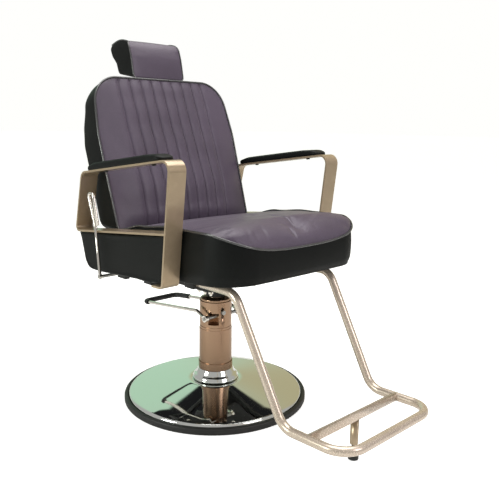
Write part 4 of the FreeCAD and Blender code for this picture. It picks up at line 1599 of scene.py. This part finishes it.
def dress_frame(palette: Palette) -> None:
    """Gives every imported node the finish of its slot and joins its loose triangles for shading.

    Args:
        palette: The materials.
    """
    slot_of = {row["node"]: row["material_slot"] for row in frame["record"]["subparts"]}
    for name, obj in frame["nodes"].items():
        finish = OWN_FINISH.get(name, FINISHES[slot_of[name]])
        obj.data.materials.clear()
        obj.data.materials.append(palette.get(finish))
        weld = obj.modifiers.new("weld", "WELD")
        weld.merge_threshold = 10 * MICRON
    LOG.info("%d packed nodes dressed", len(frame["nodes"]))


@dataclass
class PlateFasteners:
    """Hexagon bolts and washers that hang below both edges of the seat plate."""

    palette: Palette
    across: float = 15 * MM
    washer: float = 10.5 * MM
    stud: float = 4 * MM
    margin: float = 13 * MM
    rows: tuple[float, ...] = (-86 * MM, -58 * MM, -30 * MM, 96 * MM)

    def build(self) -> None:
        """Makes all bolts as one piece that rides with the seat."""
        low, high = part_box("seat_mount_plate")
        stack = ((24, self.washer, 0.0, 2 * MM), (6, self.across / 2, 2 * MM, 9 * MM),
                 (12, self.stud, 9 * MM, 15 * MM))
        bm = bmesh.new()
        for sign in (-1, 1):
            for y in self.rows:
                spot = Vector((sign * (high[0] - self.margin), y, low[2]))
                for sides, radius, top, deep in stack:
                    middle = spot - Vector((0, 0, (top + deep) / 2 - 0.1 * MM))
                    made = bmesh.ops.create_cone(bm, cap_ends=True, segments=sides, radius1=radius,
                                                 radius2=radius, depth=deep - top,
                                                 matrix=Matrix.Translation(middle))
                    edges = {e for v in made["verts"] for e in v.link_edges}
                    bmesh.ops.bevel(bm, geom=list(edges), offset=0.5 * MM, segments=2, profile=0.5,
                                    affect="EDGES", material=-1)
        bmesh.ops.recalc_face_normals(bm, faces=bm.faces[:])
        mesh = as_mesh(bm, "seat_plate_fasteners")
        mesh.materials.append(self.palette.get(FINISHES["polished_chrome"]))
        obj = as_object(mesh)
        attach(obj, "seat")
        LOG.info("%s: %d faces", obj.name, len(mesh.polygons))


# ---------------------------------------------------------------- room, light and camera

class Studio:
    """Pale floor, soft lights, a plain surround and the camera."""

    floor_half = 60.0
    floor_glow = 0.7
    lens = 45.44
    stand = (-1.3191, -1.5344, 0.9027)

    def floor(self) -> None:
        """Lays the floor and its finish."""
        bm = bmesh.new()
        bmesh.ops.create_grid(bm, x_segments=2, y_segments=2, size=self.floor_half)
        mesh = as_mesh(bm, "studio_floor")
        material = bpy.data.materials.new("studio_floor")
        material.use_nodes = True
        shader = material.node_tree.nodes["Principled BSDF"]
        shader.inputs["Base Color"].default_value = (0.9, 0.9, 0.89, 1.0)
        shader.inputs["Roughness"].default_value = 0.75
        shader.inputs["Emission Color"].default_value = (1.0, 1.0, 0.985, 1.0)
        glow = material.node_tree.nodes.new("ShaderNodeMath")
        glow.operation = "MULTIPLY"
        glow.inputs[1].default_value = self.floor_glow
        seen = material.node_tree.nodes.new("ShaderNodeLightPath")
        material.node_tree.links.new(seen.outputs["Is Camera Ray"], glow.inputs[0])
        material.node_tree.links.new(glow.outputs[0], shader.inputs["Emission Strength"])
        mesh.materials.append(material)
        obj = as_object(mesh)
        obj.location.z = -0.5 * MM

    def lamp(self, name: str, at: Sequence[float], toward: Sequence[float], size: float, power: float,
             colour: Colour) -> None:
        """Adds a square soft light.

        Args:
            name: Its name.
            at: Where it stands.
            toward: The point it faces.
            size: Its width.
            power: Its power in watts.
            colour: Its colour.
        """
        data = bpy.data.lights.new(name, "AREA")
        data.size = size
        data.energy = power
        data.color = colour
        obj = bpy.data.objects.new(name, data)
        obj.location = at
        obj.rotation_euler = (Vector(toward) - Vector(at)).to_track_quat("-Z", "Y").to_euler()
        bpy.context.scene.collection.objects.link(obj)

    def surround(self) -> None:
        """Grey surround with green, straw and black patches for the polished metal, and white behind."""
        world = bpy.data.worlds.new("studio")
        world.use_nodes = True
        tree = world.node_tree
        ground = tree.nodes["Background"]
        where = tree.nodes.new("ShaderNodeTexCoord").outputs["Generated"]

        def facing(x: float, y: float, z: float, low: float, high: float) -> bpy.types.NodeSocket:
            """A soft mask round one direction.

            Args:
                x: The direction's x.
                y: Its y.
                z: Its z.
                low: Cosine where the mask starts.
                high: Cosine where it is full.

            Returns:
                The mask's socket.
            """
            dot = tree.nodes.new("ShaderNodeVectorMath")
            dot.operation = "DOT_PRODUCT"
            tree.links.new(where, dot.inputs[0])
            dot.inputs[1].default_value = Vector((x, y, z)).normalized()
            span = tree.nodes.new("ShaderNodeMapRange")
            span.interpolation_type = "SMOOTHSTEP"
            tree.links.new(dot.outputs["Value"], span.inputs["Value"])
            span.inputs["From Min"].default_value = low
            span.inputs["From Max"].default_value = high
            return span.outputs["Result"]

        colour = colour_mix(tree, facing(0.45, 0.89, 0.3, 0.7, 0.98), (0.46, 0.45, 0.44), (0.5, 0.72, 0.54))
        colour = colour_mix(tree, facing(0.95, 0.3, 0.3, 0.75, 0.97), colour, (0.5, 0.45, 0.28))
        colour = colour_mix(tree, facing(0.29, 0.3, 0.906, 0.878, 0.888), colour, (0.012, 0.012, 0.013))
        seen = tree.nodes.new("ShaderNodeLightPath").outputs["Is Camera Ray"]
        tree.links.new(colour_mix(tree, seen, colour, (1.0, 1.0, 0.98)), ground.inputs["Color"])
        ground.inputs["Strength"].default_value = 1.0
        bpy.context.scene.world = world

    def camera(self) -> None:
        """Sets the camera."""
        turn, pitch, roll = math.radians(-43.8), math.radians(11.2), math.radians(0.8)
        ahead = Vector((-math.sin(turn) * math.cos(pitch), math.cos(turn) * math.cos(pitch),
                        -math.sin(pitch)))
        flat = Vector((math.cos(turn), math.sin(turn), 0.0))
        up = flat.cross(ahead)
        right = flat * math.cos(roll) + up * math.sin(roll)
        up = up * math.cos(roll) - flat * math.sin(roll)
        data = bpy.data.cameras.new("camera")
        data.lens = self.lens
        data.sensor_width = 36.0
        obj = bpy.data.objects.new("camera", data)
        basis = Matrix((right, up, -ahead)).transposed().to_4x4()
        obj.matrix_world = Matrix.Translation(self.stand) @ basis
        bpy.context.scene.collection.objects.link(obj)
        bpy.context.scene.camera = obj

    def build(self) -> None:
        """Builds the whole studio."""
        self.floor()
        self.surround()
        self.lamp("overhead", (0.3, 0.0, 3.0), (0, 0, 0.5), 2.4, 75, (1.0, 0.98, 0.96))
        self.lamp("front", (0.5, -3.0, 2.0), (0, 0, 0.6), 1.2, 22, (1.0, 0.94, 0.97))
        self.lamp("left", (-2.8, 0.5, 1.3), (0, 0, 0.5), 0.9, 32, (0.93, 1.0, 0.93))
        bpy.context.scene.view_settings.view_transform = "Standard"
        self.camera()
        LOG.info("studio ready")


# ---------------------------------------------------------------- assembly

def build_seat(palette: Palette) -> None:
    """Seat cushion with its piping.

    Args:
        palette: The materials.
    """
    columns = with_seams(281 * MM, [-28 * MM, 17 * MM], 6.5 * MM, (2 * MM, 4 * MM, 6 * MM, 8 * MM))
    seat = SeatCushion("seat_cushion_leather", "seat", ("seat_cushion",), "top_leather", FRONT_LIT_TOP_LEATHER,
                       BOXING_LEATHER_GREEN_SPILL, columns, even(84), 18, 7 * MM, 4.0, 0.75, LINING)
    obj = seat.build(palette)
    trim = Trim(palette, "seat")
    rim = pushed(seat.rim(obj), lambda p: Vector((p.x, p.y + 0.13, 0)), 3 * MM)
    trim.tube("seat_piping", rim, 3.4 * MM)


def build_back(palette: Palette) -> None:
    """Back cushion with its piping and stitching.

    Args:
        palette: The materials.
    """
    columns = with_seams(BACK_HALF, BACK_SEAMS, 7 * MM, (1.4 * MM, 4.0 * MM))
    back = BackCushion("back_cushion_leather", "backrest", ("back_cushion",), "top_leather", FRONT_LIT_TOP_LEATHER,
                       BOXING_LEATHER_GREEN_SPILL, columns, even(78), 18, 7 * MM, 4.0, 0.75, BOXING_LEATHER_GREEN_SPILL)
    obj = back.build(palette)
    trim = Trim(palette, "backrest")
    middle = on_back(0, 0.26, 0)
    rim = pushed(back.rim(obj), lambda p: (p - middle) - BACK_IN * (p - middle).dot(BACK_IN), 2.6 * MM)
    trim.tube("back_piping", rim, 3.3 * MM)
    runs = [[p - BACK_IN * 0.6 * MM for p in run] for run in back.lines(obj)]
    trim.stitches("back_stitching", runs, 4.5 * MM, 3.2 * MM, 0.9 * MM)


def build_headrest(palette: Palette) -> None:
    """Headrest pad with a piped seam down each side.

    Args:
        palette: The materials.
    """
    # The pad's face takes the top leather, whose lighter purple colour is painted front light on this black
    # leather pad.
    pad = HeadrestPad("headrest_leather", "headrest", ("headrest_pad",), "boxing_leather", FRONT_LIT_TOP_LEATHER,
                      BOXING_LEATHER_GREEN_SPILL, even(40), even(26), 20, 5 * MM, 4.0, 0.8, BOXING_LEATHER_GREEN_SPILL)
    obj = pad.build(palette)
    trim = Trim(palette, "headrest")
    for name, side in (("right", -1.0), ("left", 1.0)):
        seam = pushed(pad.side_seam(obj, side), lambda p: Vector((p.x, 0, 0)), 0.6 * MM)
        trim.tube(f"headrest_piping_{name}", seam, 2.4 * MM, False)


def build_sides(palette: Palette) -> None:
    """Skirt panels and arm pads.

    Args:
        palette: The materials.
    """
    for name, sign in (("right", -1), ("left", 1)):
        skirt = SkirtPanel(f"skirt_leather_{name}", "seat", (f"skirt_panel_{name}",), "boxing_leather",
                           BOXING_LEATHER_GREEN_SPILL, BOXING_LEATHER_GREEN_SPILL, even(66), even(26), 9, 3 * MM, 2.0, 0.6, LINING,
                           sign=sign)
        skirt.build(palette)
        pad = ArmPad(f"arm_leather_{name}", "seat", (f"arm_pad_{name}",), "boxing_leather", BOXING_LEATHER_GREEN_SPILL,
                     BOXING_LEATHER_GREEN_SPILL, even(14), even(90), 5, 1.5 * MM, 1.5, 0.8, LINING, sign=sign)
        pad.build(palette)


def build_rear_panel(palette: Palette) -> None:
    """Covered board behind the back.

    Args:
        palette: The materials.
    """
    panel = RearPanel("back_rear_leather", "backrest", ("back_rear_board",), "boxing_leather", BOXING_LEATHER_GREEN_SPILL,
                      BOXING_LEATHER_GREEN_SPILL, even(64), even(30), 3, 1.2 * MM, 1.5, 0.4, BOXING_LEATHER_GREEN_SPILL)
    panel.build(palette)


def main() -> None:
    """Builds every piece in order."""
    logging.basicConfig(level=logging.INFO, format="%(name)s: %(message)s")
    palette = Palette()
    dress_frame(palette)
    build_seat(palette)
    build_back(palette)
    build_headrest(palette)
    build_sides(palette)
    build_rear_panel(palette)
    PlateFasteners(palette).build()
    Studio().build()


if __name__ == "__main__":
    main()
